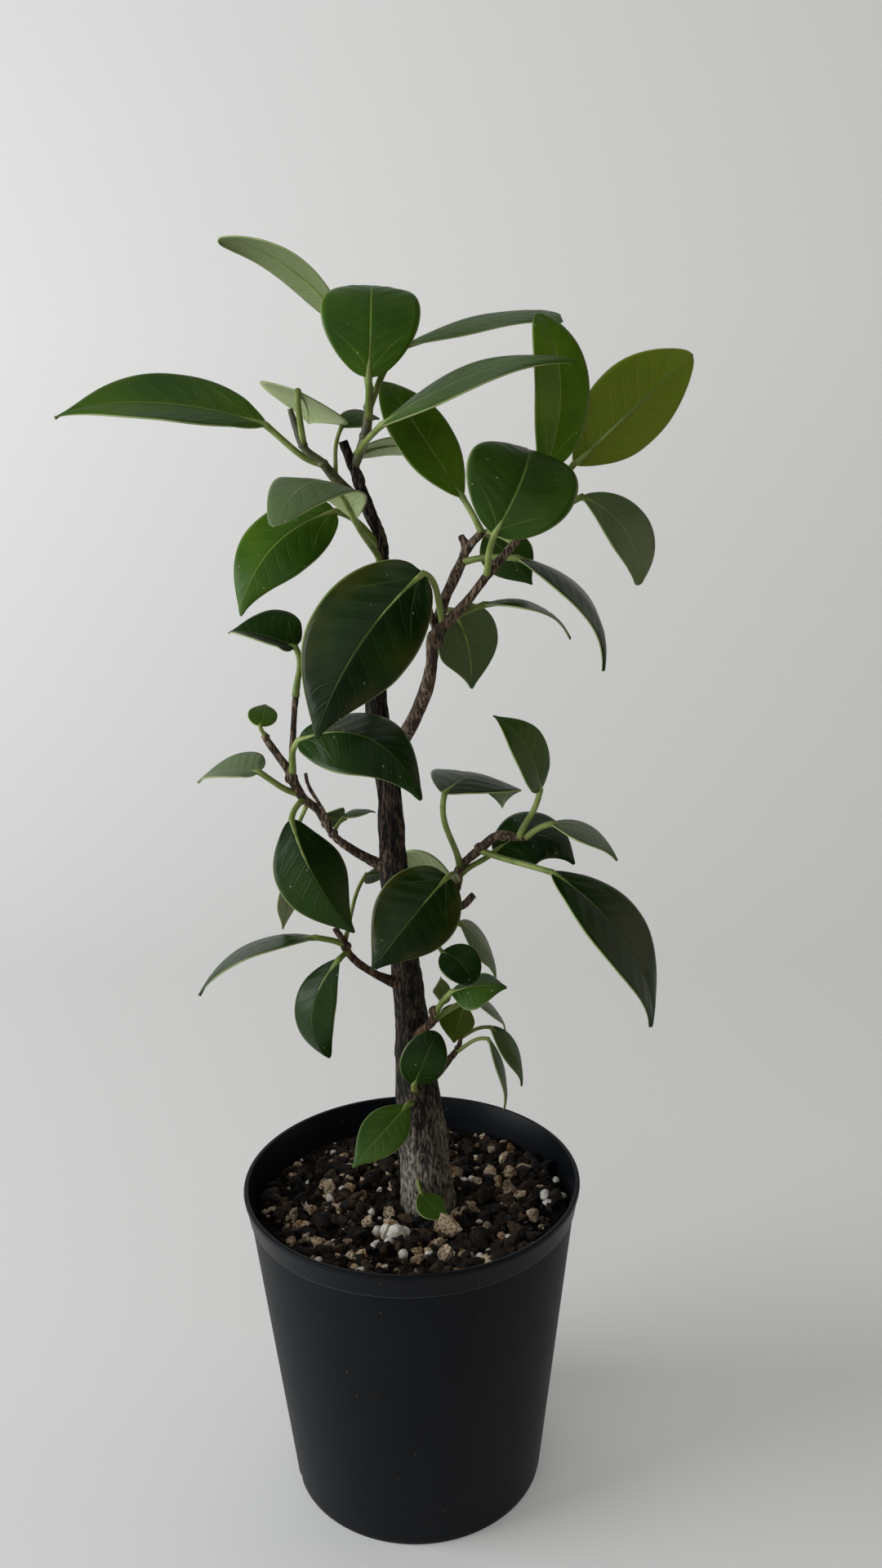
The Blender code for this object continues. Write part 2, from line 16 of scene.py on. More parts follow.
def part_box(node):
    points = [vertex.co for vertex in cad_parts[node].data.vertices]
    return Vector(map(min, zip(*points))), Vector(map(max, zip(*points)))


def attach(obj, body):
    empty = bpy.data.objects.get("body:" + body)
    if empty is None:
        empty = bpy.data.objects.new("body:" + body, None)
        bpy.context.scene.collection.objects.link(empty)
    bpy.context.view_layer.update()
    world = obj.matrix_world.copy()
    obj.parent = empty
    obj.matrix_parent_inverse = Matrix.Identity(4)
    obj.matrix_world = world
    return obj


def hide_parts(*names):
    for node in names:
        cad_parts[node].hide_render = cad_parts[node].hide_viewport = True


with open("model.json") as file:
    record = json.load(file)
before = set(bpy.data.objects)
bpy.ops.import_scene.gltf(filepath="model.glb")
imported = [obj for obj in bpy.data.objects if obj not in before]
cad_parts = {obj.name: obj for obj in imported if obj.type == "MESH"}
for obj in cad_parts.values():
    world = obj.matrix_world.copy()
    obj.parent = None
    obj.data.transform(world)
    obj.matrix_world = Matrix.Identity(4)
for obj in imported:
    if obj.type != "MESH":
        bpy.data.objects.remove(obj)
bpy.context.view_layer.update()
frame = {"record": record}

bpy.ops.object.select_all(action="DESELECT")
MM = 0.001


# Pot
# The real pot is one thin injection moulding of black plastic: a smooth taper with a rim band that ends in
# a small step, and drain notches through the foot. It is turned here ring by ring, and the notches are cut.
pot_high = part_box("pot")[1]
POT_MOUTH = pot_high.x
POT_TOP = pot_high.z
POT_FOOT = 34.2 * MM
WALL = 1.3 * MM
POT_FLOOR = 1.6 * MM
BAND_FOOT = POT_TOP - 6.7 * MM
BAND_RADIUS = 43.9 * MM
BAND_STEP = 0.45 * MM
FOOT_ROUND = 0.9 * MM
LIP_ROUND = 0.35 * MM
NOTCH_TURN = math.radians(18)
NOTCH_WIDTH = 4 * MM
NOTCH_HEIGHT = 4.8 * MM
NOTCH_DEPTH = 7 * MM
NOTCH_ROUND = 0.8 * MM
POT_SIDES = 160
WALL_TAPER = (BAND_RADIUS - BAND_STEP - POT_FOOT) / BAND_FOOT
MERGE_DISTANCE = 0.0001 * MM


class Wire:
    """An output of a shader node. Sums, differences and products of wires add Math nodes."""

    def __init__(self, finish, socket):
        self.finish = finish
        self.socket = socket

    def __add__(self, other):
        return self.finish.maths("ADD", self, other)

    def __sub__(self, other):
        return self.finish.maths("SUBTRACT", self, other)

    def __rsub__(self, other):
        return self.finish.maths("SUBTRACT", other, self)

    def __mul__(self, other):
        return self.finish.maths("MULTIPLY", self, other)

    __radd__ = __add__
    __rmul__ = __mul__


class Finish:
    """A material and the nodes that make its surface."""

    def __init__(self, name):
        self.material = bpy.data.materials.new(name)
        self.material.use_nodes = True
        self.tree = self.material.node_tree
        self.shader = self.tree.nodes["Principled BSDF"]

    def fill(self, node, values):
        for name, value in values.items():
            socket = node.inputs[name]
            if isinstance(value, Wire):
                self.tree.links.new(value.socket, socket)
            else:
                socket.default_value = (*value, 1) if socket.type == "RGBA" else value

    def node(self, kind, values, output=0, **settings):
        made = self.tree.nodes.new(kind)
        for name, value in settings.items():
            setattr(made, name, value)
        self.fill(made, values)
        return Wire(self, made.outputs[output])

    def surface(self, **values):
        """Fills the Principled shader's sockets, named with _ for a space."""
        self.fill(self.shader, {name.replace("_", " "): value for name, value in values.items()})

    def maths(self, operation, *values):
        return self.node("ShaderNodeMath", dict(enumerate(values)), operation=operation)

    def mix(self, factor, first, second):
        return self.node("ShaderNodeMix", {0: factor, 6: first, 7: second}, 2, data_type="RGBA")

    def place(self, stretch=(1, 1, 1)):
        here = self.node("ShaderNodeTexCoord", {}, "Object")
        return self.node("ShaderNodeMapping", {"Vector": here, "Scale": stretch})

    def clouds(self, scale, detail=3, stretch=(1, 1, 1)):
        values = {"Vector": self.place(stretch), "Scale": scale, "Detail": detail}
        return self.node("ShaderNodeTexNoise", values, "Fac")

    def specks(self, scale, size, share):
        """1 inside round specks of a part of a cell's size, in a share of the cells."""
        cell = {"Vector": self.place(), "Scale": scale}
        far = self.node("ShaderNodeTexVoronoi", cell, "Distance")
        dice = self.node("ShaderNodeTexVoronoi", cell, "Color")
        dice = self.node("ShaderNodeSeparateColor", {0: dice})
        return self.rise(far, size, size * 0.6) * self.maths("LESS_THAN", dice, share)

    def rise(self, value, low, high):
        """0 at low and 1 at high, with a soft step between. It falls where low is the greater of the two."""
        values = {"Value": value, "From Min": low, "From Max": high}
        return self.node("ShaderNodeMapRange", values, interpolation_type="SMOOTHSTEP")

    def bump(self, height, distance, strength=1.0):
        values = {"Height": height, "Distance": distance, "Strength": strength}
        return self.node("ShaderNodeBump", values)


def begin_editing():
    bpy.ops.object.mode_set(mode="EDIT")
    bpy.ops.mesh.select_all(action="SELECT")


def end_editing():
    bpy.ops.mesh.select_all(action="SELECT")
    bpy.ops.mesh.remove_doubles(threshold=MERGE_DISTANCE)
    bpy.ops.mesh.normals_make_consistent(inside=False)
    bpy.ops.object.mode_set(mode="OBJECT")


def apply_modifier(piece, kind, **settings):
    step = piece.modifiers.new(kind.title(), kind)
    for name, value in settings.items():
        setattr(step, name, value)
    bpy.ops.object.modifier_apply(modifier=step.name)


def settle(piece, name, slot, *nodes):
    """Names a finished piece, fixes it to the plant, and puts it in place of its CAD solids."""
    bpy.ops.object.transform_apply(location=True, rotation=True, scale=True)
    piece.name = name
    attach(piece, "root")
    if nodes:
        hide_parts(*nodes)
    piece.select_set(False)


def turned(rings, sides):
    """A closed turned solid: a disc at the first ring's (radius, height), drawn on from ring to ring."""
    radius, height = rings[0]
    foot = (0, 0, height)
    bpy.ops.mesh.primitive_circle_add(vertices=sides, radius=radius, fill_type="NGON", location=foot)
    begin_editing()
    for next_radius, next_height in rings[1:]:
        bpy.ops.mesh.extrude_region_move(TRANSFORM_OT_translate={"value": (0, 0, next_height - height)})
        grow = next_radius / radius
        bpy.ops.transform.resize(value=(grow, grow, 1), center_override=(0, 0, next_height))
        radius, height = next_radius, next_height
    end_editing()
    return bpy.context.object


pot_rings = [
    (POT_FOOT - FOOT_ROUND, 0),
    (POT_FOOT - FOOT_ROUND * 0.4, FOOT_ROUND * 0.18),
    (POT_FOOT - FOOT_ROUND * 0.08, FOOT_ROUND * 0.6),
    (POT_FOOT + WALL_TAPER * 2 * MM, 2 * MM),
    (BAND_RADIUS - BAND_STEP - WALL_TAPER * 0.3 * MM, BAND_FOOT - 0.3 * MM),
    (BAND_RADIUS - BAND_STEP, BAND_FOOT),
    (BAND_RADIUS - 0.1 * MM, BAND_FOOT + 0.1 * MM),
    (BAND_RADIUS, BAND_FOOT + 0.45 * MM),
    (POT_MOUTH - 0.4 * MM, POT_TOP - 2.1 * MM),
    (POT_MOUTH - 0.1 * MM, POT_TOP - 1.3 * MM),
    (POT_MOUTH, POT_TOP - 0.6 * MM),
    (POT_MOUTH - LIP_ROUND * 0.3, POT_TOP - LIP_ROUND * 0.4),
    (POT_MOUTH - LIP_ROUND, POT_TOP),
    (POT_MOUTH - WALL + LIP_ROUND, POT_TOP),
    (POT_MOUTH - WALL + LIP_ROUND * 0.3, POT_TOP - LIP_ROUND * 0.3),
    (POT_MOUTH - WALL, POT_TOP - LIP_ROUND),
    (BAND_RADIUS - BAND_STEP - WALL, BAND_FOOT),
    (POT_FOOT - WALL, POT_FLOOR + 0.6 * MM),
    (POT_FOOT - WALL - 0.6 * MM, POT_FLOOR),
]
pot = turned(pot_rings, POT_SIDES)
for turn in (NOTCH_TURN, NOTCH_TURN + math.pi):
    bpy.ops.mesh.primitive_cube_add(
        size=1,
        location=(math.cos(turn) * POT_FOOT, math.sin(turn) * POT_FOOT, 0),
        rotation=(0, 0, turn),
        scale=(NOTCH_DEPTH, NOTCH_WIDTH, NOTCH_HEIGHT * 2),
    )
    notch = bpy.context.object
    bpy.ops.object.transform_apply(location=False, rotation=False, scale=True)
    apply_modifier(notch, "BEVEL", width=NOTCH_ROUND, segments=4)
    bpy.context.view_layer.objects.active = pot
    apply_modifier(pot, "BOOLEAN", object=notch, operation="DIFFERENCE")
    bpy.data.objects.remove(notch, do_unlink=True)
pot.select_set(True)
bpy.ops.object.shade_smooth_by_angle(angle=math.radians(32))

black_plastic = Finish("black_plastic")
drift = black_plastic.clouds(60, 4)
scuff = black_plastic.clouds(900, 2, (1, 1, 0.15))
dust = black_plastic.specks(420, 0.09, 0.12)
spot = black_plastic.place()
level = black_plastic.place((1, 1, 0))
height = black_plastic.node("ShaderNodeSeparateXYZ", {0: spot}, "Z")
from_axis = black_plastic.node("ShaderNodeVectorMath", {0: level}, "Value", operation="LENGTH")
from_step = black_plastic.maths("ABSOLUTE", height - BAND_FOOT)
outside = black_plastic.maths("GREATER_THAN", from_axis, BAND_RADIUS - BAND_STEP - WALL / 2)
# A thin pale grey line along the outside of the band's step is a painted highlight, where light catches the
# step's edge.
step_painted_highlight = black_plastic.rise(from_step, 0.3 * MM, 0.12 * MM) * (0.4 + drift) * outside
shoulder = black_plastic.rise(height, BAND_FOOT, BAND_FOOT - 0.5 * MM)
black = black_plastic.mix(drift, (0.0025, 0.003, 0.0045), (0.0055, 0.007, 0.009))
black = black_plastic.mix(step_painted_highlight * 0.8, black, (0.07, 0.075, 0.08))
black_plastic.surface(
    Base_Color=black_plastic.mix(dust * 0.5, black, (0.2, 0.18, 0.15)),
    Roughness=0.3 + drift * 0.1 + scuff * 0.06 + dust * 0.3 + shoulder * 0.12,
    Specular_IOR_Level=0.1,
    Normal=black_plastic.bump(scuff + drift * 2, 0.01 * MM),
)
pot.data.materials.append(black_plastic.material)
settle(pot, "nursery_pot", "pot_plastic", "pot")


# Soil
# Dark peat fills the pot to about 8 mm below its mouth. It rises a little towards the middle, and is banked
# up against the front wall. White perlite, tan pumice and bits of bark lie in and on it, pressed in by
# watering.
soil_low, soil_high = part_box("soil")
SOIL_MIDDLE = soil_high.z
SOIL_EDGE = SOIL_MIDDLE - 1 * MM
SOIL_FOOT = soil_low.z
SOIL_RADIUS = soil_high.x
SOIL_FOOT_RADIUS = SOIL_RADIUS - 9.6 * MM
SOIL_RINGS = 34
SOIL_SIDES = 150
CRUMB_HEIGHT = 2.4 * MM
LUMP_WIDTH = 3.6 * MM
SMALL_LUMP_WIDTH = 1.5 * MM
HOLLOW_WIDTH = 11 * MM
SOIL_BANK = 3.6 * MM
BANK_START = 0.72


def soil_height(x, y):
    """The peat's surface: a low mound, lumps of a few millimetres, and a bank against the front wall."""
    out = math.hypot(x, y) / SOIL_RADIUS
    lumps = noise.noise(Vector((x, y, 0)) / LUMP_WIDTH)
    lumps += 0.6 * noise.noise(Vector((x, y, 1)) / SMALL_LUMP_WIDTH)
    hollow = noise.noise(Vector((x, y, 0)) / HOLLOW_WIDTH)
    mound = SOIL_MIDDLE - 0.3 * MM + (SOIL_EDGE - SOIL_MIDDLE) * out ** 3
    front = min(max(0.75 - y / SOIL_RADIUS, 0), 1)
    bank = SOIL_BANK * max(out - BANK_START, 0) / (1 - BANK_START) * front
    return mound + bank + CRUMB_HEIGHT * (0.35 * lumps + 0.45 * hollow)


soil_rings = [(SOIL_FOOT_RADIUS, SOIL_FOOT), (SOIL_RADIUS - 0.2 * MM, SOIL_EDGE - 1 * MM)]
soil_rings += [(SOIL_RADIUS * (1 - (ring + 0.4) / SOIL_RINGS), SOIL_EDGE) for ring in range(SOIL_RINGS)]
soil = turned(soil_rings, SOIL_SIDES)
for corner in soil.data.vertices:
    if corner.co.z > SOIL_EDGE - 0.5 * MM:
        corner.co.z = soil_height(corner.co.x, corner.co.y)
bpy.ops.object.shade_smooth()

peat = Finish("peat")
crumbs = peat.clouds(700, 6)
damp = peat.clouds(120, 3)
fibre = peat.clouds(1500, 3, (1, 0.25, 1))
peat.surface(
    Base_Color=peat.mix(
        peat.rise(crumbs, 0.5, 0.72),
        peat.mix(damp, (0.0035, 0.0025, 0.002), (0.01, 0.0065, 0.0045)),
        peat.mix(fibre, (0.02, 0.012, 0.007), (0.06, 0.036, 0.019))),
    Roughness=0.8 + damp * 0.2,
    Specular_IOR_Level=0.15,
    Normal=peat.bump(crumbs + fibre * 0.5, 1.1 * MM),
)
soil.data.materials.append(peat.material)
settle(soil, "peat_surface", "peat_soil", "soil")

TRUNK_FOOT = Vector((4.4 * MM, 0, 0))
TRUNK_REACH = 7.9 * MM


def lump_shape(seed, roughness):
    """One grain about 1 across: a ball of eighty faces, pushed in and out."""
    bpy.ops.mesh.primitive_ico_sphere_add(subdivisions=2, radius=0.5)
    lump = bpy.context.object
    for corner in lump.data.vertices:
        push = noise.noise(corner.co * 2.1 + Vector((seed, seed, 0)))
        push += 0.5 * noise.noise(corner.co * 5 + Vector((0, seed, seed)))
        corner.co *= 1 + roughness * push
    lump.select_set(False)
    return lump


def scatter(name, finish, shapes, count, sizes, flatness, sunk, seed, extras=()):
    """Strews copies of the shapes over the peat, thicker towards its edge, and joins them."""
    draw = random.Random(seed)
    smallest, largest = sizes
    places = [(x * MM, y * MM, size * MM) for x, y, size in extras]
    while len(places) < count:
        radius = (SOIL_RADIUS - largest * 0.45) * draw.random() ** 0.42
        turn = draw.uniform(0, 2 * math.pi)
        spot = Vector((radius * math.cos(turn), radius * math.sin(turn), 0))
        size = smallest + (largest - smallest) * draw.random() ** 1.9
        if (spot - TRUNK_FOOT).length > TRUNK_REACH + size / 2:
            places.append((spot.x, spot.y, size))
    for x, y, size in places:
        shape = draw.choice(shapes)
        grain = bpy.data.objects.new(name, shape.data.copy())
        bpy.context.collection.objects.link(grain)
        height = soil_height(x, y) + size * (0.5 - sunk) * flatness
        turns = Euler((draw.uniform(-0.5, 0.5), draw.uniform(-0.5, 0.5), draw.uniform(0, 2 * math.pi)), "ZYX")
        length, width = size * draw.uniform(0.8, 1.15), size * draw.uniform(0.7, 1)
        stretch = Matrix.Diagonal((length, width, size * flatness, 1))
        grain.data.transform(Matrix.Translation((x, y, height)) @ turns.to_matrix().to_4x4() @ stretch)
        grain.select_set(True)
        bpy.context.view_layer.objects.active = grain
    bpy.ops.object.join()
    grains = bpy.context.object
    bpy.ops.object.shade_smooth_by_angle(angle=math.radians(50))
    grains.data.materials.append(finish.material)
    settle(grains, name, "peat_soil")


round_shapes = [lump_shape(seed, 0.35) for seed in (3, 11, 27)]
jagged_shapes = [lump_shape(seed, 0.75) for seed in (5, 18, 40)]

perlite = Finish("perlite")
pits = perlite.clouds(1800, 3)
stain = perlite.clouds(260, 3)
perlite.surface(
    Base_Color=perlite.mix(perlite.rise(stain, 0.42, 0.7), (0.62, 0.59, 0.53), (0.3, 0.25, 0.19)),
    Roughness=0.8 + pits * 0.15,
    Normal=perlite.bump(pits, 0.5 * MM),
)
pumice = Finish("pumice")
pits = pumice.clouds(1300, 4)
stain = pumice.clouds(170, 2)
rust = pumice.clouds(120, 2, (1.3, 0.8, 1))
pumice.surface(
    Base_Color=pumice.mix(
        pumice.rise(pits, 0.32, 0.56),
        (0.05, 0.03, 0.017),
        pumice.mix(
            pumice.rise(rust, 0.56, 0.68),
            pumice.mix(pumice.rise(stain, 0.38, 0.58), (0.24, 0.18, 0.12), (0.48, 0.37, 0.24)),
            (0.27, 0.14, 0.06))),
    Roughness=0.85,
    Specular_IOR_Level=0.2,
    Normal=pumice.bump(pits, 0.8 * MM),
)
bark_bits = Finish("bark_bits")
grit = bark_bits.clouds(1300, 4)
tint = bark_bits.clouds(210, 2)
bark_bits.surface(
    Base_Color=bark_bits.mix(
        bark_bits.rise(tint, 0.5, 0.68),
        bark_bits.mix(grit, (0.0025, 0.0018, 0.0012), (0.012, 0.0075, 0.0045)),
        bark_bits.mix(grit, (0.014, 0.008, 0.004), (0.075, 0.043, 0.021))),
    Roughness=0.85,
    Specular_IOR_Level=0.2,
    Normal=bark_bits.bump(grit, 0.7 * MM),
)
# Grains that show one by one, as x, y and size in millimetres
PALE_CLUSTER = [
    (-4, -18, 5.4), (-6.8, -17, 4), (-1.6, -16.4, 3.4), (-5.6, -20.4, 3.6), (-2.6, -20, 3),
    (-8.8, -15.6, 3.2), (4.4, -24.5, 3), (-9.5, -20.5, 2.6), (-2, -25, 2.6), (25, -20.5, 3), (35.5, -2, 3),
    (36.5, -5, 2.8),
]
TAN_LUMPS = [
    (9, -15.5, 7), (6.5, -20, 4), (8.5, -27, 5), (11.6, -25.6, 4.6), (-12.5, -26, 4.6), (-15.5, -24.5, 3.8),
    (-32, -9, 4.6), (-29.5, -12, 4), (-24, -19, 4.4), (-21.5, -21, 4), (13, -6, 4.4), (15.5, -4, 4),
    (11, -9, 3.6), (26, 4, 5), (29, 1, 4.2), (23, 7, 4.2), (12, 12, 4.8), (22, 12, 4), (-23, 6, 4.4),
    (-27, -4, 4),
]
all_shapes = round_shapes + jagged_shapes
scatter("peat_crumbs", bark_bits, jagged_shapes, 760, (1.4 * MM, 5.4 * MM), 0.7, 0.28, 7)
scatter("pumice_grains", pumice, jagged_shapes, 260, (1.2 * MM, 3.8 * MM), 0.75, 0.2, 19, TAN_LUMPS)
scatter("perlite_grains", perlite, all_shapes, 90, (1 * MM, 2.8 * MM), 0.85, 0.2, 31, PALE_CLUSTER)
for shape in all_shapes:
    bpy.data.objects.remove(shape, do_unlink=True)


# Trunk
# One woody stem, thick and grey at the soil and thinner and browner upwards, to a dark cut stub. Its bark
# is fissured along the stem. It is a tapering tube through listed points, each an x, y, z and diameter, and
# the bark is pushed into it.
TRUNK = [
    (5, 0, 62, 12.4), (4.7, 0, 70, 14.8), (4.4, 0, 79, 15.2), (4, 0, 86, 14.2), (3.2, 0.5, 98, 13.4),
    (2, 1, 112, 12), (0.9, 2, 131, 9), (0, 2, 144.5, 7.9), (-1.5, 2, 163, 7.2), (-3, 2, 178, 7),
    (-3.5, 3, 197, 6.2), (-6, 4, 218, 5.6), (-5.5, 5, 234, 4.6), (-3.5, 6, 250, 3.8), (-4, 6, 258, 3.2),
    (-6.5, 5.5, 265, 3), (-9, 5, 273, 2.8), (-10.5, 5, 277, 2.9), (-12, 5, 281, 2.6),
]


def eased(before, start, end, after, t):
    """A point on the smooth curve from start to end, t of the way."""
    rise = t * t * (3 - 2 * t)
    slope_in = (end - before) / 2
    slope_out = (after - start) / 2
    return (start * (1 - rise) + end * rise
            + slope_in * (t * t * t - 2 * t * t + t) + slope_out * (t * t * t - t * t))


def smooth_run(run, steps):
    knots = [Vector(knot) for knot in run]
    knots = [2 * knots[0] - knots[1]] + knots + [2 * knots[-1] - knots[-2]]
    points = []
    for i in range(1, len(knots) - 2):
        points += [eased(*knots[i - 1:i + 3], step / steps) for step in range(steps)]
    return points + [knots[-2]]


def tube(points, roundness):
    """A closed mesh tube through (x, y, z, diameter) points in millimetres, left active and selected."""
    line = bpy.data.curves.new("tube", "CURVE")
    line.dimensions = "3D"
    line.bevel_depth = MM
    line.bevel_resolution = roundness
    line.use_fill_caps = True
    spline = line.splines.new("POLY")
    spline.points.add(len(points) - 1)
    for corner, point in zip(spline.points, points):
        corner.co = (*(point.xyz * MM), 1)
        corner.radius = point.w / 2
    made = bpy.data.objects.new("tube", line)
    bpy.context.collection.objects.link(made)
    bpy.ops.object.select_all(action="DESELECT")
    made.select_set(True)
    bpy.context.view_layer.objects.active = made
    bpy.ops.object.convert(target="MESH")
    begin_editing()
    end_editing()
    return bpy.context.object


def roughen(piece, depth, grain, seed):
    """Pushes bark into a stem: fissures that run up it, and slow swellings."""
    normals = [corner.normal.copy() for corner in piece.data.vertices]
    for corner, normal in zip(piece.data.vertices, normals):
        place = corner.co / MM
        along = Vector((place.x * grain, place.y * grain, place.z * grain * 0.2 + seed))
        crease = 1 - abs(noise.noise(along) + 0.5 * noise.noise(along * 2)) * 2.4
        swell = noise.noise(place * 0.16 + Vector((seed, 0, 0)))
        scale = noise.noise(along * 2.3 + Vector((9, seed, 0)))
        corner.co += normal * depth * MM * (0.9 * swell - 0.8 * max(crease, 0) ** 3 + 0.35 * scale)


def joined(pieces):
    """The pieces as one object, left active and selected."""
    bpy.ops.object.select_all(action="DESELECT")
    for piece in pieces:
        piece.select_set(True)
    bpy.context.view_layer.objects.active = pieces[0]
    bpy.ops.object.join()
    bpy.ops.object.shade_smooth()
    return bpy.context.object


def knob(x, y, z, width, height):
    """A rounded knob where a leaf or a twig once grew."""
    centre = (x * MM, y * MM, z * MM)
    bpy.ops.mesh.primitive_uv_sphere_add(segments=20, ring_count=12, radius=0.5, location=centre)
    bpy.ops.transform.resize(value=(width * MM, width * MM, height * MM), center_override=centre)
    bpy.ops.object.transform_apply(location=True, rotation=True, scale=True)
    return bpy.context.object


trunk = tube(smooth_run(TRUNK, 11), 22)
roughen(trunk, 0.55, 0.85, 3)
TRUNK_KNOBS = [(0.4, -1.6, 118.5, 3.4, 4.2), (-1.6, -0.4, 122.5, 2.6, 3.2), (2.5, -2.6, 137, 2.6, 3)]
trunk_knobs = [knob(*lump) for lump in TRUNK_KNOBS]
for lump in trunk_knobs:
    roughen(lump, 0.4, 1.1, 5)
trunk = joined([trunk] + trunk_knobs)


def bark_finish(name, valley, ridge, old, old_top, grey=(0.2, 0.185, 0.15)):
    """Fissured bark: dark valleys, brown ridges, and a greyer old skin below a height."""
    finish = Finish(name)
    warp = finish.clouds(260, 3)
    fissure = finish.clouds(1900, 6, (1, 1, 0.22))
    crack = finish.clouds(900, 6, (1, 1, 0.1))
    plate = finish.clouds(240, 4, (1, 1, 0.3))
    lichen = finish.clouds(1100, 5, (1, 1, 0.45))
    height = finish.node("ShaderNodeSeparateXYZ", {0: finish.place()}, "Z")
    age = finish.rise(height + (plate - 0.5) * 0.05, old_top, old_top - 0.03) * finish.rise(lichen, 0.3, 0.52)
    skin = finish.mix(finish.rise(plate, 0.35, 0.65), ridge, old)
    skin = finish.mix(age * 0.8, skin, grey)
    between_fissures = finish.rise(fissure + (warp - 0.5) * 0.2, 0.42, 0.58)
    between_cracks = finish.rise(crack + (warp - 0.5) * 0.3, 0.4, 0.52)
    open_bark = between_fissures * between_cracks
    open_bark = open_bark + (1 - open_bark) * age * 0.35
    finish.surface(
        Base_Color=finish.mix(open_bark, valley, skin),
        Roughness=0.7 + lichen * 0.2,
        Specular_IOR_Level=0.25,
        Normal=finish.bump(fissure + crack * 1.6 + lichen * 0.4, 0.9 * MM),
    )
    return finish


old_bark = bark_finish(
    "old_bark", (0.003, 0.002, 0.0015), (0.05, 0.031, 0.019), (0.11, 0.075, 0.05), 0.118, (0.34, 0.31, 0.25))
trunk.data.materials.append(old_bark.material)
settle(trunk, "trunk_with_bark", "bark", "trunk")


# Side stems
# Eight thinner stems grow from the trunk. The older ones are brown and woody and end in cut or dead stubs,
# with knobs at their old leaf scars. The youngest two are still green. Each is a group of tapering tubes.
twig_bark = bark_finish("twig_bark", (0.04, 0.025, 0.016), (0.17, 0.108, 0.068), (0.26, 0.19, 0.13), 0)
red_bark = bark_finish("red_bark", (0.035, 0.016, 0.01), (0.14, 0.066, 0.037), (0.17, 0.105, 0.062), 0)

green_twig = Finish("green_twig")
streak = green_twig.clouds(500, 4, (1, 1, 0.3))
lenticel = green_twig.specks(900, 0.25, 0.3)
green_twig.surface(
    Base_Color=green_twig.mix(
        lenticel * 0.5,
        green_twig.mix(green_twig.rise(streak, 0.38, 0.62), (0.035, 0.033, 0.012), (0.1, 0.1, 0.032)),
        (0.2, 0.19, 0.09)),
    Roughness=0.5,
    Normal=green_twig.bump(streak, 0.15 * MM),
)
SIDE_STEMS = {
    "upper_right_stem": (twig_bark, [
        [(-3.7, 2, 203, 4.4), (2, -2, 212.5, 3.7), (6.3, -6, 222.5, 3.4), (8, -8, 230, 3),
         (9, -9, 236.5, 3.2), (16, -13, 244.5, 2.2), (21.5, -14, 251.5, 2), (27.5, -12, 258, 2),
         (31.5, -10, 261, 2.2), (33.5, -8, 262, 1.6)],
        [(8.4, -8.6, 232, 2.2), (10.5, -6, 242.5, 2.8), (16.3, 1, 254.5, 2.4), (15.5, 3, 258.5, 1.6)],
        [(15.6, 0.4, 253, 2), (18, 0, 257, 2), (20.3, -2, 259.5, 1.6)],
        [(9, -8, 238, 1.8), (7.6, -9.5, 243.5, 1.4), (7.4, -10, 246, 0.9)],
    ]),
    "left_stem": (twig_bark, [
        [(-4, 1.5, 175.5, 3.8), (-8, 0.5, 178, 2.8), (-13, -2, 182, 2.2), (-17.3, -4, 186.5, 2),
         (-20.5, -5, 193, 2), (-24, -6, 196.5, 2.2), (-26.5, -7, 202, 2.4), (-27.5, -7, 204.5, 2),
         (-31.8, -9, 212, 1.8), (-32.2, -10, 214, 1.2)],
        [(-26.4, -7, 201.5, 1.8), (-26.2, -6, 207.5, 1.8), (-25.5, -4, 217.5, 1.6), (-24.5, -3, 225, 1.6)],
        [(-18, -4.6, 189, 1), (-19.4, -6, 193.5, 1), (-22.3, -8.2, 200, 0.9), (-23, -8.4, 203.5, 0.8)],
    ]),
    "lower_left_stem": (red_bark, [
        [(0, 1, 142.5, 3.6), (-3.5, 0, 145, 3), (-7.7, -3, 148.5, 2.2), (-12, -5, 152.5, 2),
         (-14.5, -6, 156, 2), (-15.3, -6, 158.5, 2), (-17.6, -6, 162.5, 1.6)],
    ]),
    "right_stem": (twig_bark, [
        [(-1.2, 3, 155.5, 4), (7, 6, 161.5, 3.2), (12.6, 7, 167.5, 3), (14.3, 7, 173.5, 2.6),
         (19.2, 5, 179, 2.4), (23.7, 3, 183.2, 2.4), (28.2, 2, 183.2, 2.2), (31.2, 1, 183.4, 1.8)],
        [(8, 6.2, 162.2, 2), (14.2, 8.5, 162.3, 2.2), (17.7, 8.5, 165.5, 2)],
    ]),
    "low_shoot": (red_bark, [
        [(1.4, 1, 127.5, 3), (3.3, -4, 133, 2.2), (6.3, -6, 136.5, 2.4), (7, -6, 140.5, 1.8)],
    ]),
    "low_twig": (red_bark, [
        [(3.5, 1, 114, 2.6), (8, 1, 119, 2.2), (10.7, 0, 123, 1.8), (12.9, 0, 126, 1.6),
         (13.8, 0, 129.5, 1.2)],
    ]),
    "top_left_twig": (green_twig, [
        [(-6.8, 5.4, 265.5, 2.6), (-12.8, 3, 271, 2.6), (-16.7, 1, 276, 2.2), (-20.7, 0, 279.5, 1.8),
         (-22.7, 0, 285, 1.6), (-23.7, 0, 288.5, 1.2)],
    ]),
    "top_shoot": (green_twig, [
        [(-9.6, 5, 275, 2.4), (-8, 4, 278.5, 2.4), (-6.7, 3, 281.5, 2.6), (-6, 2, 285, 2.4),
         (-5.3, 0, 290, 2), (-5.1, -2, 294, 1.6)],
    ]),
}
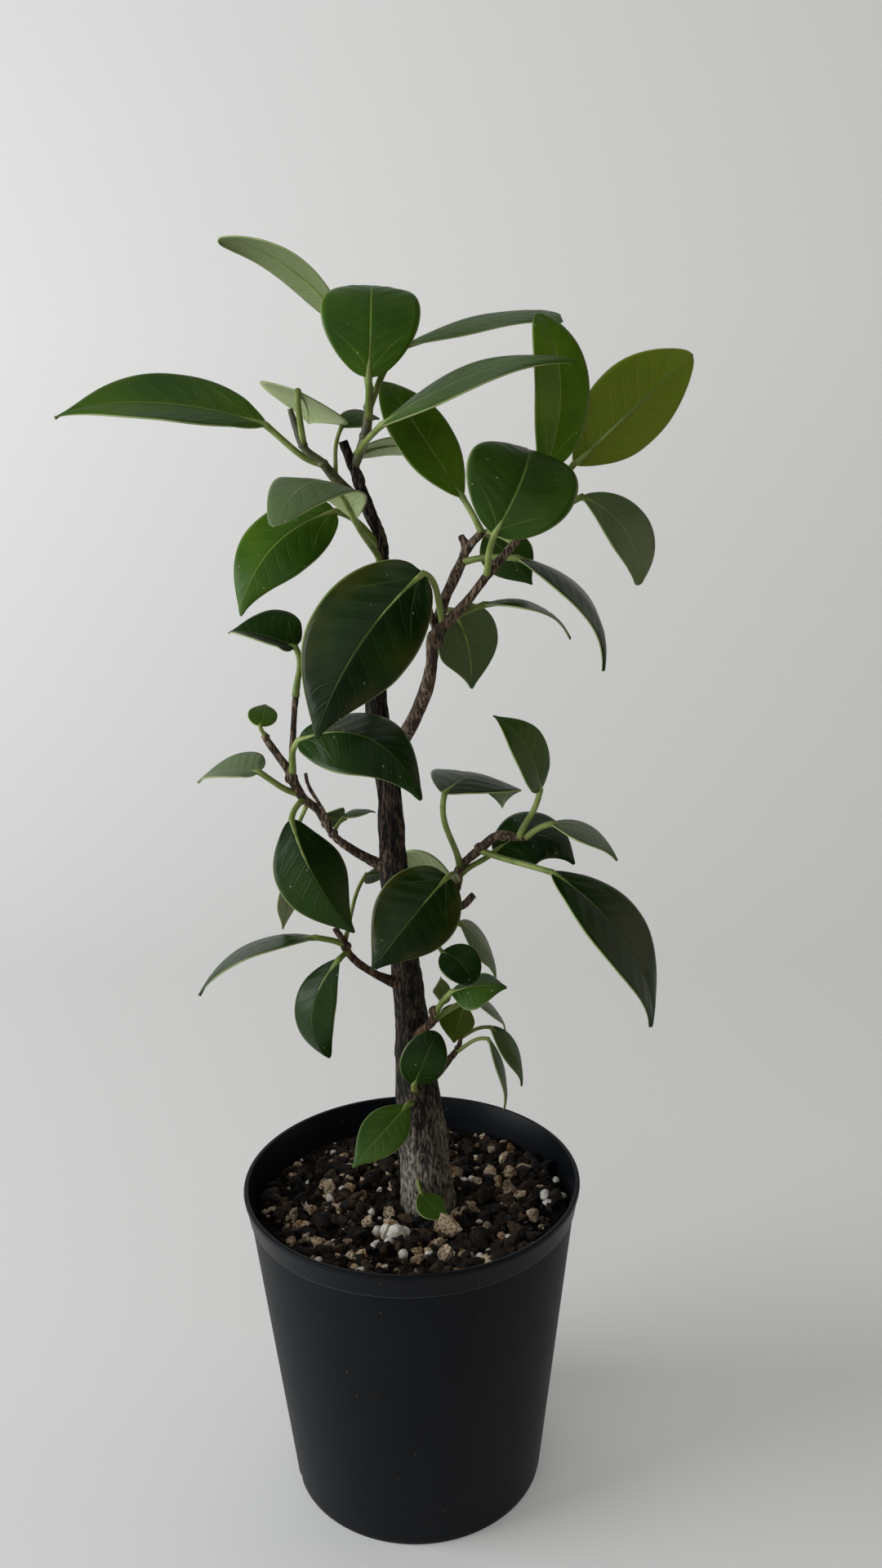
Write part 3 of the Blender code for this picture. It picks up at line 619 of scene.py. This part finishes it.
# x, y, z, width and height of each knob
STEM_KNOBS = {
    "upper_right_stem": [(9, -9, 236, 4.2, 4), (-0.5, -0.5, 208, 4.6, 5), (29.5, -11, 259.8, 2.8, 2.4)],
    "left_stem": [(-26.6, -7, 202, 3.2, 3), (-17.3, -4, 186.8, 2.8, 2.6), (-32, -9.6, 213, 2.2, 2.2)],
    "lower_left_stem": [(-15, -6, 157.5, 3, 2.8)],
    "right_stem": [(19.3, 5, 179.4, 3.2, 2.8), (25.2, 2.6, 183.4, 3, 2.8), (31.2, 1, 183.6, 2.4, 2.4)],
    "low_shoot": [(6.9, -6.2, 139.5, 2.8, 2.6)],
    "low_twig": [(12.9, 0, 126, 2.1, 2)],
    "top_left_twig": [(-16.7, 1, 276, 2.8, 2.4), (-21, 0, 280.2, 2.3, 2)],
    "top_shoot": [(-6.6, 2.8, 282, 3, 2.6), (-5.6, 0.8, 288.5, 2.5, 2.2)],
}
for name, (bark, runs) in SIDE_STEMS.items():
    tubes = [tube(smooth_run(run, 7), 10) for run in runs]
    tubes += [knob(*lump) for lump in STEM_KNOBS[name]]
    for part in tubes:
        roughen(part, 0.1 if bark is green_twig else 0.22, 1.2, 2)
    stem = joined(tubes)
    stem.data.materials.append(bark.material)
    settle(stem, f"{name}_with_bark", "bark", name)


# Leaves
# Forty-nine leathery leaves, each a round green stalk that runs on as the midrib of a thin blade. The upper
# side is dark and glossy, the under side paler and duller, and the tip draws out into a short point.
BLADE_ROWS = 44
BLADE_COLUMNS = 22
BLADE_THICKNESS = 0.36
STALK_RADIUS = 0.75
SMALL_STALK_RADIUS = 0.5
SMALL_LEAF_WIDTH = 11
SIDE_VEINS = 9
END_HALF_WIDTH = 0.12
CURL_START = 0.72
STALK_STEPS = 14
RIB_STEPS = 26

# A leaf's root on its stem, its blade's base and its tip are points. Its upper side faces a turn and a lift,
# and each half of the blade rises by the fold, all in degrees. Bow and sweep bend the midrib.
LEAF_FIELDS = "root base tip width faces bow sweep fold shape skin skew sag curl"
Leaf = namedtuple("Leaf", LEAF_FIELDS, defaults=(0, 0, 0.04))
Outline = namedtuple("Outline", "belly fullness drip wedge")
EGG = Outline(belly=0.42, fullness=1.2, drip=0.62, wedge=0.45)
OVAL = Outline(belly=0.5, fullness=1.05, drip=0.25, wedge=0.5)
HEART = Outline(belly=0.4, fullness=1.05, drip=0.62, wedge=0.12)
LANCE = Outline(belly=0.42, fullness=1.35, drip=0.68, wedge=0.4)
ROUND = Outline(belly=0.5, fullness=0.95, drip=0.1, wedge=0.15)
PADDLE = Outline(belly=0.6, fullness=1.15, drip=0.6, wedge=0.3)
DROP = Outline(belly=0.34, fullness=1.1, drip=0.6, wedge=0.1)
SPOON = Outline(belly=0.72, fullness=0.9, drip=0.1, wedge=0.3)


def half_width(leaf, u):
    """The blade's half width at u: fullest at the belly, a wedge at the base, and a drawn-in tip."""
    shape = leaf.shape
    if u <= 0 or u >= 1:
        return END_HALF_WIDTH
    swell = (u / shape.belly) ** shape.belly * ((1 - u) / (1 - shape.belly)) ** (1 - shape.belly)
    point = 1 - shape.drip * min(max((u - 0.5) / 0.45, 0), 1) ** 2
    base = 1 - shape.wedge * max(1 - u / 0.4, 0) ** 2
    return max(leaf.width / 2 * swell ** shape.fullness * point * base, END_HALF_WIDTH)


def leaf_length(leaf):
    return (Vector(leaf.tip) - Vector(leaf.base)).length


def tip_curl(leaf, u):
    """How far the blade's tip bends back under the midrib's curve."""
    return leaf.curl * leaf_length(leaf) * max(u - CURL_START, 0) ** 2 / 0.08


def midrib(leaf, u):
    """The midrib's place at u, 0 at the base and 1 at the tip, with its run, side and upper directions."""
    base, tip = Vector(leaf.base), Vector(leaf.tip)
    chord = tip - base
    turn, lift = (math.radians(angle) for angle in leaf.faces)
    upper = Vector((math.sin(turn) * math.cos(lift), -math.cos(turn) * math.cos(lift), math.sin(lift)))
    upper = (upper - chord * (upper.dot(chord) / chord.length_squared)).normalized()
    side = chord.cross(upper).normalized()
    belly = upper * leaf.bow + side * leaf.sweep
    place = base + chord * u + belly * (4 * u * (1 - u))
    run = (chord + belly * (4 - 8 * u)).normalized()
    upper = (upper - run * upper.dot(run)).normalized()
    return place, run, run.cross(upper), upper


def stalk_point(leaf, t):
    """The stalk's axis from its root at 0 to the blade's base at 1."""
    root, base = Vector(leaf.root), Vector(leaf.base)
    reach = (base - root).length
    run = midrib(leaf, 0)[1]
    lift = Vector((0, 0, 0.06 * reach - 1.4 * leaf.sag))
    hook = (root - base - run * reach * 0.8) * 0.28
    bends = [root, root + (base - root) * 0.35 + lift, base + hook - Vector((0, 0, leaf.sag)), base]
    weights = [(1 - t) ** 3, 3 * t * (1 - t) ** 2, 3 * t * t * (1 - t), t ** 3]
    return sum((bend * weight for bend, weight in zip(bends, weights)), Vector())


def blade_point(leaf, u, v):
    """A point of the blade: u along it, and v across it from -1 at its left edge to 1 at its right."""
    place, _, side, upper = midrib(leaf, u)
    half = half_width(leaf, u) * (1 + leaf.skew * math.copysign(1, v))
    out = abs(v)
    rise = half * out * math.tan(math.radians(leaf.fold)) * min(1, u * 8)
    rise -= 0.05 * half * out * out
    rise -= 0.13 * math.exp(-(v / 0.07) ** 2) * (1 - u)
    rise += 0.012 * half * math.cos(2 * math.pi * (SIDE_VEINS * u - 1.6 * out)) * out * (1 - out) * 4
    rise += 0.012 * leaf_length(leaf) * math.sin(9 * u + 2.4 * v) * out * out * u
    rise -= tip_curl(leaf, u)
    return place + side * (v * half) + upper * rise


def closer_rows(along):
    """Draws the grid's rows together at the blade's base and tip."""
    return along - 0.09 * math.sin(2 * math.pi * along)


def closer_columns(across):
    """Draws the grid's columns together at the midrib."""
    return across * (0.62 + 0.38 * abs(across))


def shape_blade(leaf):
    """The thin blade, with its upper finish on the side that it faces, left active and selected."""
    bpy.ops.mesh.primitive_grid_add(x_subdivisions=BLADE_COLUMNS, y_subdivisions=BLADE_ROWS, size=1)
    blade = bpy.context.object
    for corner in blade.data.vertices:
        u = closer_rows(corner.co.y + 0.5)
        v = closer_columns(corner.co.x * 2)
        corner.co = blade_point(leaf, min(max(u, 0), 1), v) * MM
    for corner in blade.data.uv_layers[0].data:
        corner.uv = (closer_columns(corner.uv.x * 2 - 1) / 2 + 0.5, closer_rows(corner.uv.y))
    upper, under = LEAF_SKINS[leaf.skin]
    for finish in (upper, under, leaf_edge_painted_glow):
        blade.data.materials.append(finish.material)
    thickness = BLADE_THICKNESS * MM
    apply_modifier(blade, "SOLIDIFY", thickness=thickness, offset=0, material_offset=1, material_offset_rim=2)
    return blade


def shape_stalk(leaf):
    """The stalk, which thins out along the blade's under side as the midrib."""
    radius = SMALL_STALK_RADIUS if leaf.width < SMALL_LEAF_WIDTH else STALK_RADIUS
    points = []
    for step in range(STALK_STEPS):
        t = step / STALK_STEPS
        swelling = 1 + 0.35 * (1 - t) ** 6
        points.append(Vector((*stalk_point(leaf, t), 2 * radius * swelling)))
    for step in range(RIB_STEPS - 2):
        u = step / RIB_STEPS
        place, _, _, upper = midrib(leaf, u)
        thin = radius * (1 - u) ** 1.3 * (0.62 + 0.38 * math.exp(-12 * u)) + 0.1
        drop = thin * 0.75 * min(1, u * 9) + tip_curl(leaf, u)
        points.append(Vector((*(place - upper * drop), 2 * thin)))
    return tube(points, 4)


def grow_leaves(name, leaves):
    for number, leaf in enumerate(leaves, 1):
        blade = shape_blade(leaf)
        stalk = shape_stalk(leaf)
        stalk.data.materials.append(stalk_green.material)
        whole = joined([blade, stalk])
        node = f"{name}_leaf_{number}"
        settle(whole, f"{node}_blade_and_stalk", frame_slots[node], node)


def vein_map(finish):
    """Masks from the blade's own map: side, fine and base veins, midrib and margin, and how far out it is."""
    spot = finish.node("ShaderNodeUVMap", {}, uv_map="UVMap")
    across = finish.node("ShaderNodeSeparateXYZ", {0: spot}, "X") * 2 - 1
    along = finish.node("ShaderNodeSeparateXYZ", {0: spot}, "Y")
    right = finish.maths("GREATER_THAN", across, 0)
    out = finish.maths("ABSOLUTE", across)
    ladder = finish.maths("FRACT", along * SIDE_VEINS - out * 1.6 + right * 0.4 + 9)
    gap = finish.maths("ABSOLUTE", ladder - 0.5)
    side = finish.rise(gap, 0.06, 0.01) * finish.rise(out, 0.9, 0.5) * finish.rise(along, 0.03, 0.12)
    fine = finish.rise(finish.maths("ABSOLUTE", finish.maths("FRACT", ladder * 3) - 0.5), 0.12, 0.02)
    fine = fine * finish.rise(out, 0.9, 0.4)
    basal = finish.rise(finish.maths("ABSOLUTE", out - along * 2.6), 0.03, 0.01)
    basal = basal * finish.rise(along, 0.34, 0.2)
    rib = finish.rise(out, 0.03, 0.01) * finish.rise(along, 1.2, 0.5)
    margin = finish.rise(out, 0.955, 0.985)
    return side, fine, basal, rib, margin, out


def upper_skin(name, deep, fresh, vein, gloss, mottle=None):
    """The glossy upper side: two greens in soft clouds, paler veins, a thin light margin that is partly a
    painted glow of light through the edge, a little dust.
    """
    finish = Finish(name)
    side, fine, basal, rib, margin, out = vein_map(finish)
    clouds = finish.clouds(55, 3)
    grain = finish.clouds(1600, 2)
    colour = finish.mix(finish.rise(clouds, 0.3, 0.7), deep, fresh)
    if mottle:
        patch = finish.rise(finish.clouds(110, 5) * 0.7 + finish.rise(out, 0.4, 1.1) * 0.25, 0.38, 0.66)
        colour = finish.mix(patch * 0.45, colour, mottle)
    colour = finish.mix(side * 0.1 + fine * 0.04, colour, vein)
    colour = finish.mix(basal * 0.4, colour, vein)
    colour = finish.mix(rib * 0.8, colour, vein)
    # The light margin is partly the edge's own paler green and partly a painted glow of light shining through
    # the thin edge.
    colour = finish.mix(margin * 0.7, colour, (0.2, 0.25, 0.09))
    colour = finish.mix(finish.specks(520, 0.12, 0.2) * 0.45, colour, (0.5, 0.52, 0.46))
    finish.surface(
        Base_Color=colour,
        Roughness=gloss + clouds * 0.1 + grain * 0.05,
        Specular_IOR_Level=0.14,
        Normal=finish.bump(grain * 0.1 - side * 0.3 - fine * 0.08 - basal * 0.4 - rib * 0.8, 0.12 * MM),
    )
    return finish


def under_skin(name, pale, paler, vein):
    """The dull under side: a grey-green with raised pale veins."""
    finish = Finish(name)
    side, fine, basal, rib, margin, _ = vein_map(finish)
    clouds = finish.clouds(70, 3)
    grain = finish.clouds(1800, 2)
    colour = finish.mix(clouds, pale, paler)
    colour = finish.mix(side * 0.4 + fine * 0.12, colour, vein)
    colour = finish.mix(basal * 0.5, colour, vein)
    colour = finish.mix(rib * 0.8 + margin * 0.5, colour, vein)
    finish.surface(
        Base_Color=colour,
        Roughness=0.48 + grain * 0.1,
        Specular_IOR_Level=0.2,
        Normal=finish.bump(grain * 0.2 + side * 0.6 + fine * 0.2 + basal * 0.6 + rib, 0.16 * MM),
    )
    return finish


DARK_UNDER = [(0.05, 0.072, 0.03), (0.068, 0.094, 0.04), (0.13, 0.17, 0.07)]
YOUNG_UNDER = [(0.1, 0.14, 0.04), (0.13, 0.17, 0.055), (0.2, 0.26, 0.08)]
LEAF_SKINS = {
    "dark": (
        upper_skin("dark_leaf", (0.004, 0.016, 0.001), (0.012, 0.034, 0.002), (0.045, 0.08, 0.01), 0.26),
        under_skin("dark_leaf_under", *DARK_UNDER)),
    "bronze": (
        upper_skin("bronze_leaf", (0.004, 0.014, 0.001), (0.01, 0.028, 0.002), (0.045, 0.08, 0.01), 0.25,
                   (0.05, 0.038, 0.004)),
        under_skin("bronze_leaf_under", *DARK_UNDER)),
    "grown": (
        upper_skin("grown_leaf", (0.014, 0.042, 0.002), (0.036, 0.078, 0.006), (0.12, 0.18, 0.03), 0.3),
        under_skin("grown_leaf_under", (0.055, 0.088, 0.028), (0.08, 0.116, 0.04), (0.15, 0.2, 0.07))),
    "young": (
        upper_skin("young_leaf", (0.02, 0.062, 0.002), (0.05, 0.108, 0.004), (0.16, 0.24, 0.03), 0.32),
        under_skin("young_leaf_under", *YOUNG_UNDER)),
    # The fresh skin is the young skin with a brighter upper side: partly the fresher green of the two top
    # leaves that use it, partly painted light on them.
    "fresh": (
        upper_skin("fresh_leaf", (0.045, 0.108, 0.003), (0.085, 0.165, 0.006), (0.2, 0.3, 0.04), 0.32),
        under_skin("fresh_leaf_under", *YOUNG_UNDER)),
    # The yellow skin's under side is a bright yellow-green: partly the leaf's own colour, partly a painted
    # glow of backlight shining through it.
    "yellow": (
        upper_skin("yellow_leaf", (0.045, 0.08, 0.002), (0.07, 0.11, 0.003), (0.16, 0.22, 0.03), 0.34),
        under_skin("yellow_leaf_under_painted_backlight", (0.1, 0.15, 0.004), (0.15, 0.2, 0.008), (0.24, 0.3, 0.03))),
    # The pale skin is much lighter than the others, most of all on its under side: partly the leaves' own
    # paler green, partly a painted glow of backlight shining through them.
    "pale": (
        upper_skin("pale_leaf", (0.07, 0.106, 0.04), (0.1, 0.14, 0.056), (0.2, 0.26, 0.1), 0.34),
        under_skin("pale_leaf_under_painted_backlight", (0.27, 0.33, 0.15), (0.36, 0.42, 0.21), (0.3, 0.4, 0.1))),
}
# The blade's rim is painted a pale yellow-green: partly the edge's own paler colour, partly a painted glow of
# light shining through the thin margin.
leaf_edge_painted_glow = Finish("leaf_edge_painted_glow")
leaf_edge_painted_glow.surface(
    Base_Color=leaf_edge_painted_glow.mix(leaf_edge_painted_glow.clouds(300, 3), (0.17, 0.22, 0.07), (0.34, 0.38, 0.18)),
    Roughness=0.5,
    Specular_IOR_Level=0.2,
)
stalk_green = Finish("stalk_green")
blush = stalk_green.clouds(180, 3)
stalk_green.surface(
    Base_Color=stalk_green.mix(stalk_green.rise(blush, 0.35, 0.65), (0.11, 0.15, 0.025), (0.21, 0.26, 0.07)),
    Roughness=0.42,
    Specular_IOR_Level=0.25,
    Normal=stalk_green.bump(stalk_green.clouds(1200, 2), 0.06 * MM),
)
frame_slots = {entry["node"]: entry["material_slot"] for entry in frame["record"]["subparts"]}

grow_leaves("top_shoot", [
    Leaf((-5.1, -0.5, 292.5), (-9, 12, 304.5), (-39.5, 13, 328), 20, (120, 50), 4, 0.3, 0, OVAL, "young"),
    Leaf((-5.7, 1.5, 286), (-5, -5, 295), (-4.5, 10, 316.5), 22.5, (5, 35), 7, 0, 0, ROUND, "young"),
    Leaf((-5.5, 1, 288.5), (3, 8, 302.2), (40.3, 18, 310.2), 14, (-30, 68), 1, -1, 0, SPOON, "young"),
    Leaf((-8.5, 4, 278), (-2.5, -4, 284.5), (40.5, -15, 299.3), 16, (-50, 60), 3.4, 0, 0, EGG, "grown"),
])
grow_leaves("upper_right_stem", [
    Leaf((30.5, -9.6, 260.6), (35, -4, 274), (35, 6, 309.5), 16, (35, 15), 3, 2.5, 8, ROUND, "fresh"),
    Leaf((33.3, -7, 262), (42.7, 6.5, 274.6), (70.2, 10.5, 299.2), 21.5, (-160, 10), -0.5, 0.2, 5, OVAL,
         "yellow", 0.06),
    Leaf((20.3, -2, 259.5), (16, 4, 267.5), (-2, 12, 295), 17, (30, 35), 0.5, -0.5, 5, OVAL, "fresh"),
    Leaf((21, -14, 251), (22.5, -22, 261), (31, -8, 279.5), 25.5, (12, 30), 5.5, 1, 5, ROUND, "grown"),
    Leaf((32.4, -10, 261.3), (43, -10, 268), (56.5, -12, 248), 16.5, (40, 30), 2.5, -3, 0, PADDLE, "pale",
         -0.2, 1.5),
    Leaf((27.5, -12, 258), (21.5, 2, 259), (32.5, 6, 246), 13, (-10, -20), -1, 0, 0, EGG, "grown"),
    Leaf((15.5, 0, 252.5), (28.5, -7, 254), (49.5, -12, 228), 18, (75, 40), 6.2, -1, -5, LANCE, "dark"),
    Leaf((13, -11.5, 241), (20.5, -8, 243.5), (41.5, -8, 235.5), 18, (95, 70), 3.8, 0, 0, LANCE, "grown"),
    Leaf((9.3, -8, 237.5), (13, 4, 240.5), (17.3, 8, 220.5), 17, (-150, 5), 0, 2, -5, HEART, "grown"),
    Leaf((11, -10, 239), (6.5, -16, 252), (-19, -24, 215.5), 25, (0, 15), 3, 3, -15, HEART, "bronze", 0.07),
])
grow_leaves("top_left_twig", [
    Leaf((-16.7, 1, 276), (-29.5, 0, 285), (-78, -2, 289), 21, (10, 60), 2, 3, 12, EGG, "young", 0, 2.5),
    Leaf((-21, 0, 280), (-21.5, -2, 292.3), (-20.5, 14, 285.5), 23, (145, 40), 1, 0, 0, EGG, "pale"),
    Leaf((-14, 2, 272.5), (-12.5, 8, 284), (-3.5, 12, 286), 9, (5, 65), 1, -1, 0, EGG, "grown"),
])
grow_leaves("trunk", [
    Leaf((-9.6, 5, 274.5), (-9.5, 12, 277.5), (10, 16, 276.5), 14, (-180, 70), 2.5, 0.5, 0, HEART, "pale"),
    Leaf((-3.7, 6, 252), (-9.5, -4, 263.5), (-26, -30, 265), 20, (60, 82), 9, -0.5, -3, OVAL, "pale"),
    Leaf((-4, 6, 256), (-14, 0, 265), (-36.5, -12, 242.5), 18, (-5, 35), 4, 3.5, -10, HEART, "young"),
    Leaf((2.4, 0, 113), (1.5, -12, 122), (7.5, -12, 136.5), 11.5, (0, 0), 2, -0.5, 0, ROUND, "dark"),
    Leaf((0.8, 0, 108.5), (-0.5, -11, 115.5), (-14.5, -22, 104.5), 11.5, (0, 45), 2.5, -0.5, 0, EGG, "grown"),
    Leaf((1.5, -5, 91.5), (2.5, -9, 89), (10, -14, 85), 8, (10, 70), -0.5, 1, 5, EGG, "grown"),
])
grow_leaves("left_stem", [
    Leaf((-25, -3.5, 221.5), (-24.5, -4, 233.5), (-41.5, 3, 236.8), 14, (0, 70), 1, 0, 24, DROP, "dark",
         0.15),
    Leaf((-26.5, -7, 203), (-24, -12, 212.5), (5.5, -26, 201.5), 20, (5, 55), 7, -4, -15, HEART, "dark"),
    Leaf((-32, -9.6, 213), (-33, -11, 216), (-32.5, -2, 219.5), 7, (25, 65), 0.5, 0, 0, HEART, "young"),
    Leaf((-25.3, -6.2, 198), (-34, -10, 204.5), (-51, 0, 200), 13, (0, 75), 1.5, 0, 10, DROP, "pale",
         0.2, 1.5),
    Leaf((-24, -6, 196.5), (-26.5, -12, 193), (-11.5, -20, 166.5), 17, (10, 20), 2.5, 2.3, -25, EGG, "dark"),
    Leaf((-20.5, -5, 193), (-19.5, 2, 190), (-14.5, 6, 187.5), 8, (-155, 35), 0, -0.5, 0, EGG, "grown"),
    Leaf((-17.3, -4, 186.5), (-15, 0, 189.5), (-7, 4, 190), 6, (-95, 85), 1, 0, -5, LANCE, "grown"),
    Leaf((-23, -5.8, 195.5), (-30, 4, 174), (-32.5, 5, 158.5), 10, (-120, 10), -0.5, 0.5, -5, LANCE, "pale"),
])
grow_leaves("lower_left_stem", [
    Leaf((-15.2, -6, 158), (-22.5, -7, 160.5), (-53, -10, 147.5), 15, (-100, 65), 4.2, 0, 0, EGG, "dark"),
    Leaf((-14.6, -6, 156), (-16.5, -10.5, 156), (-20.5, -11, 128.5), 12, (-30, 5), 5, 3, -10, OVAL, "dark"),
    Leaf((-15.3, -6, 158.5), (-10, 6, 172.5), (-3, 12, 172), 8, (-140, 35), 0.5, -1, 0, EGG, "grown"),
])
grow_leaves("right_stem", [
    Leaf((13.5, 7, 170), (11, -4, 175), (-8.7, -12, 153), 21, (0, 20), 3, 0.5, -15, DROP, "bronze"),
    Leaf((12.6, 7, 167.5), (12, 13, 167.5), (-5, 18, 169), 19, (160, 35), 2, -1.5, -5, EGG, "pale"),
    Leaf((29.2, 1.7, 183.2), (34, -4, 197), (23, -4, 216.5), 15, (55, 20), 3, 0, 5, HEART, "grown", 0.05),
    Leaf((14.3, 7, 173.5), (10.5, -2, 196), (26.5, 24, 185.5), 24, (0, 80), 6.5, 0, -5, EGG, "dark"),
    Leaf((14.6, 7.2, 172), (23, 7, 177.5), (44, 6, 174.5), 21, (20, 65), 4.5, -4, -5, EGG, "dark"),
    Leaf((31, 1, 183.4), (37, -3, 188), (53.5, -6, 179.5), 17, (85, 65), 2, -0.5, 0, EGG, "grown"),
    Leaf((19, 5, 179), (36.7, -8, 177), (62.5, -16, 138.5), 23, (55, 35), 6.5, 0, 5, EGG, "dark", 0, 1.5),
    Leaf((12, 7.8, 162), (14, 10, 157), (24, 11, 141), 14, (80, 30), 1.5, -1.5, -5, EGG, "pale"),
    Leaf((6, 5.6, 160.8), (9.3, -7, 156), (16.8, -13, 150), 10.5, (20, 30), 2, -0.5, 5, ROUND, "dark"),
])
grow_leaves("low_shoot", [
    Leaf((6.3, -6, 136.5), (11.5, -9, 146), (25, -14, 149.5), 12, (-50, 60), 1, 0, -15, EGG, "grown"),
    Leaf((5.4, -5.4, 135.5), (15, 0, 138.5), (12, -4, 129.5), 11, (30, 10), 0, 0.5, -10, EGG, "yellow"),
    Leaf((3.3, -4, 133), (18, 5, 136.5), (26, 6, 128), 11, (100, 45), 1.5, -0.5, 0, LANCE, "pale"),
    Leaf((7, -6, 140.2), (9, 0.5, 138.5), (8.5, 4, 144.5), 6, (-135, -25), 1, -1, 0, EGG, "young"),
])
grow_leaves("low_twig", [
    Leaf((12.8, -0.3, 125.4), (20.8, -2.5, 129.7), (25.3, -6, 111), 8, (80, 10), 1.5, -0.5, -5, LANCE,
         "grown"),
    Leaf((13.7, 0.4, 129), (21.6, 3.2, 130.3), (30.6, 5.5, 111.8), 8, (65, 20), 1.5, -1, -5, LANCE, "grown"),
])


# Floor, light and camera
# A plain pale matt floor that bends up into a backdrop, a large cool soft light at the left like a window, a
# weak warm one at the right, fill lights from above and in front, and the camera at the photograph's place.
BACKDROP_WIDTH = 2.4
BACKDROP_HEIGHT = 1.6
BACKDROP_BEND = 0.35
BEND_START = 0.3
BEND_END = 0.7
FLOOR_FRONT = -1.2
FLOOR_DEPTH = 1.55
bpy.ops.mesh.primitive_grid_add(x_subdivisions=2, y_subdivisions=40, size=1)
backdrop = bpy.context.object
backdrop.name = "table_and_backdrop"
for corner in backdrop.data.vertices:
    step = corner.co.y + 0.5
    bend = min(max((step - BEND_START) / (BEND_END - BEND_START), 0), 1) * math.pi / 2
    flat = min(step / BEND_START, 1)
    tall = max((step - BEND_END) / (1 - BEND_END), 0)
    reach = FLOOR_FRONT + FLOOR_DEPTH * flat + BACKDROP_BEND * math.sin(bend)
    height = BACKDROP_BEND * (1 - math.cos(bend)) + BACKDROP_HEIGHT * tall
    corner.co = (corner.co.x * BACKDROP_WIDTH, reach, height)
bpy.ops.object.shade_smooth()
pale_paint = Finish("pale_paint")
pale_paint.surface(
    Base_Color=(0.62, 0.61, 0.59), Roughness=0.7, Emission_Color=(0.96, 0.98, 1), Emission_Strength=0.13)
backdrop.data.materials.append(pale_paint.material)

world = bpy.data.worlds.new("room")
world.use_nodes = True
world.node_tree.nodes["Background"].inputs["Color"].default_value = (0.4, 0.42, 0.44, 1)
world.node_tree.nodes["Background"].inputs["Strength"].default_value = 0.06
bpy.context.scene.world = world


def soft_light(name, place, target, width, height, power, colour):
    bpy.ops.object.light_add(type="AREA", location=place)
    light = bpy.context.object
    light.name = name
    light.data.shape = "RECTANGLE"
    light.data.size = width
    light.data.size_y = height
    light.data.energy = power
    light.data.color = colour
    light.rotation_euler = (Vector(target) - Vector(place)).to_track_quat("-Z", "Y").to_euler()


soft_light("window", (-0.95, -0.2, 0.4), (0, 0.05, 0.16), 0.7, 0.8, 12, (0.93, 0.97, 1))
soft_light("warm_room", (0.9, 0.1, 0.4), (0, 0.1, 0.1), 0.6, 0.6, 1.2, (1, 0.84, 0.62))
soft_light("ceiling", (-0.1, -0.1, 1.2), (0, 0.1, 0.1), 0.9, 0.9, 1.6, (1, 1, 1))
soft_light("front_fill", (-0.4, -1.3, 0.8), (0, 0, 0.2), 1.6, 1.4, 7, (0.97, 0.99, 1))

CAMERA_PLACE = Vector((9.67, -332.5, 289.5)) * MM
CAMERA_PITCH = math.radians(15.4)
CAMERA_ROLL = math.radians(-1.02)
FOCAL_PIXELS = 1700
FRAME_PIXELS = 1920
SENSOR_WIDTH = 36
ahead = Vector((0, math.cos(CAMERA_PITCH), -math.sin(CAMERA_PITCH)))
level = Vector((1, 0, 0))
upright = level.cross(ahead)
camera_x = level * math.cos(CAMERA_ROLL) + upright * math.sin(CAMERA_ROLL)
camera_y = upright * math.cos(CAMERA_ROLL) - level * math.sin(CAMERA_ROLL)
bpy.ops.object.camera_add(location=CAMERA_PLACE)
camera = bpy.context.object
camera.rotation_euler = Matrix((camera_x, camera_y, -ahead)).transposed().to_euler()
camera.data.sensor_width = SENSOR_WIDTH
camera.data.lens = FOCAL_PIXELS / FRAME_PIXELS * SENSOR_WIDTH
camera.data.clip_start = 0.01
bpy.context.scene.camera = camera
bpy.context.scene.view_settings.view_transform = "Standard"
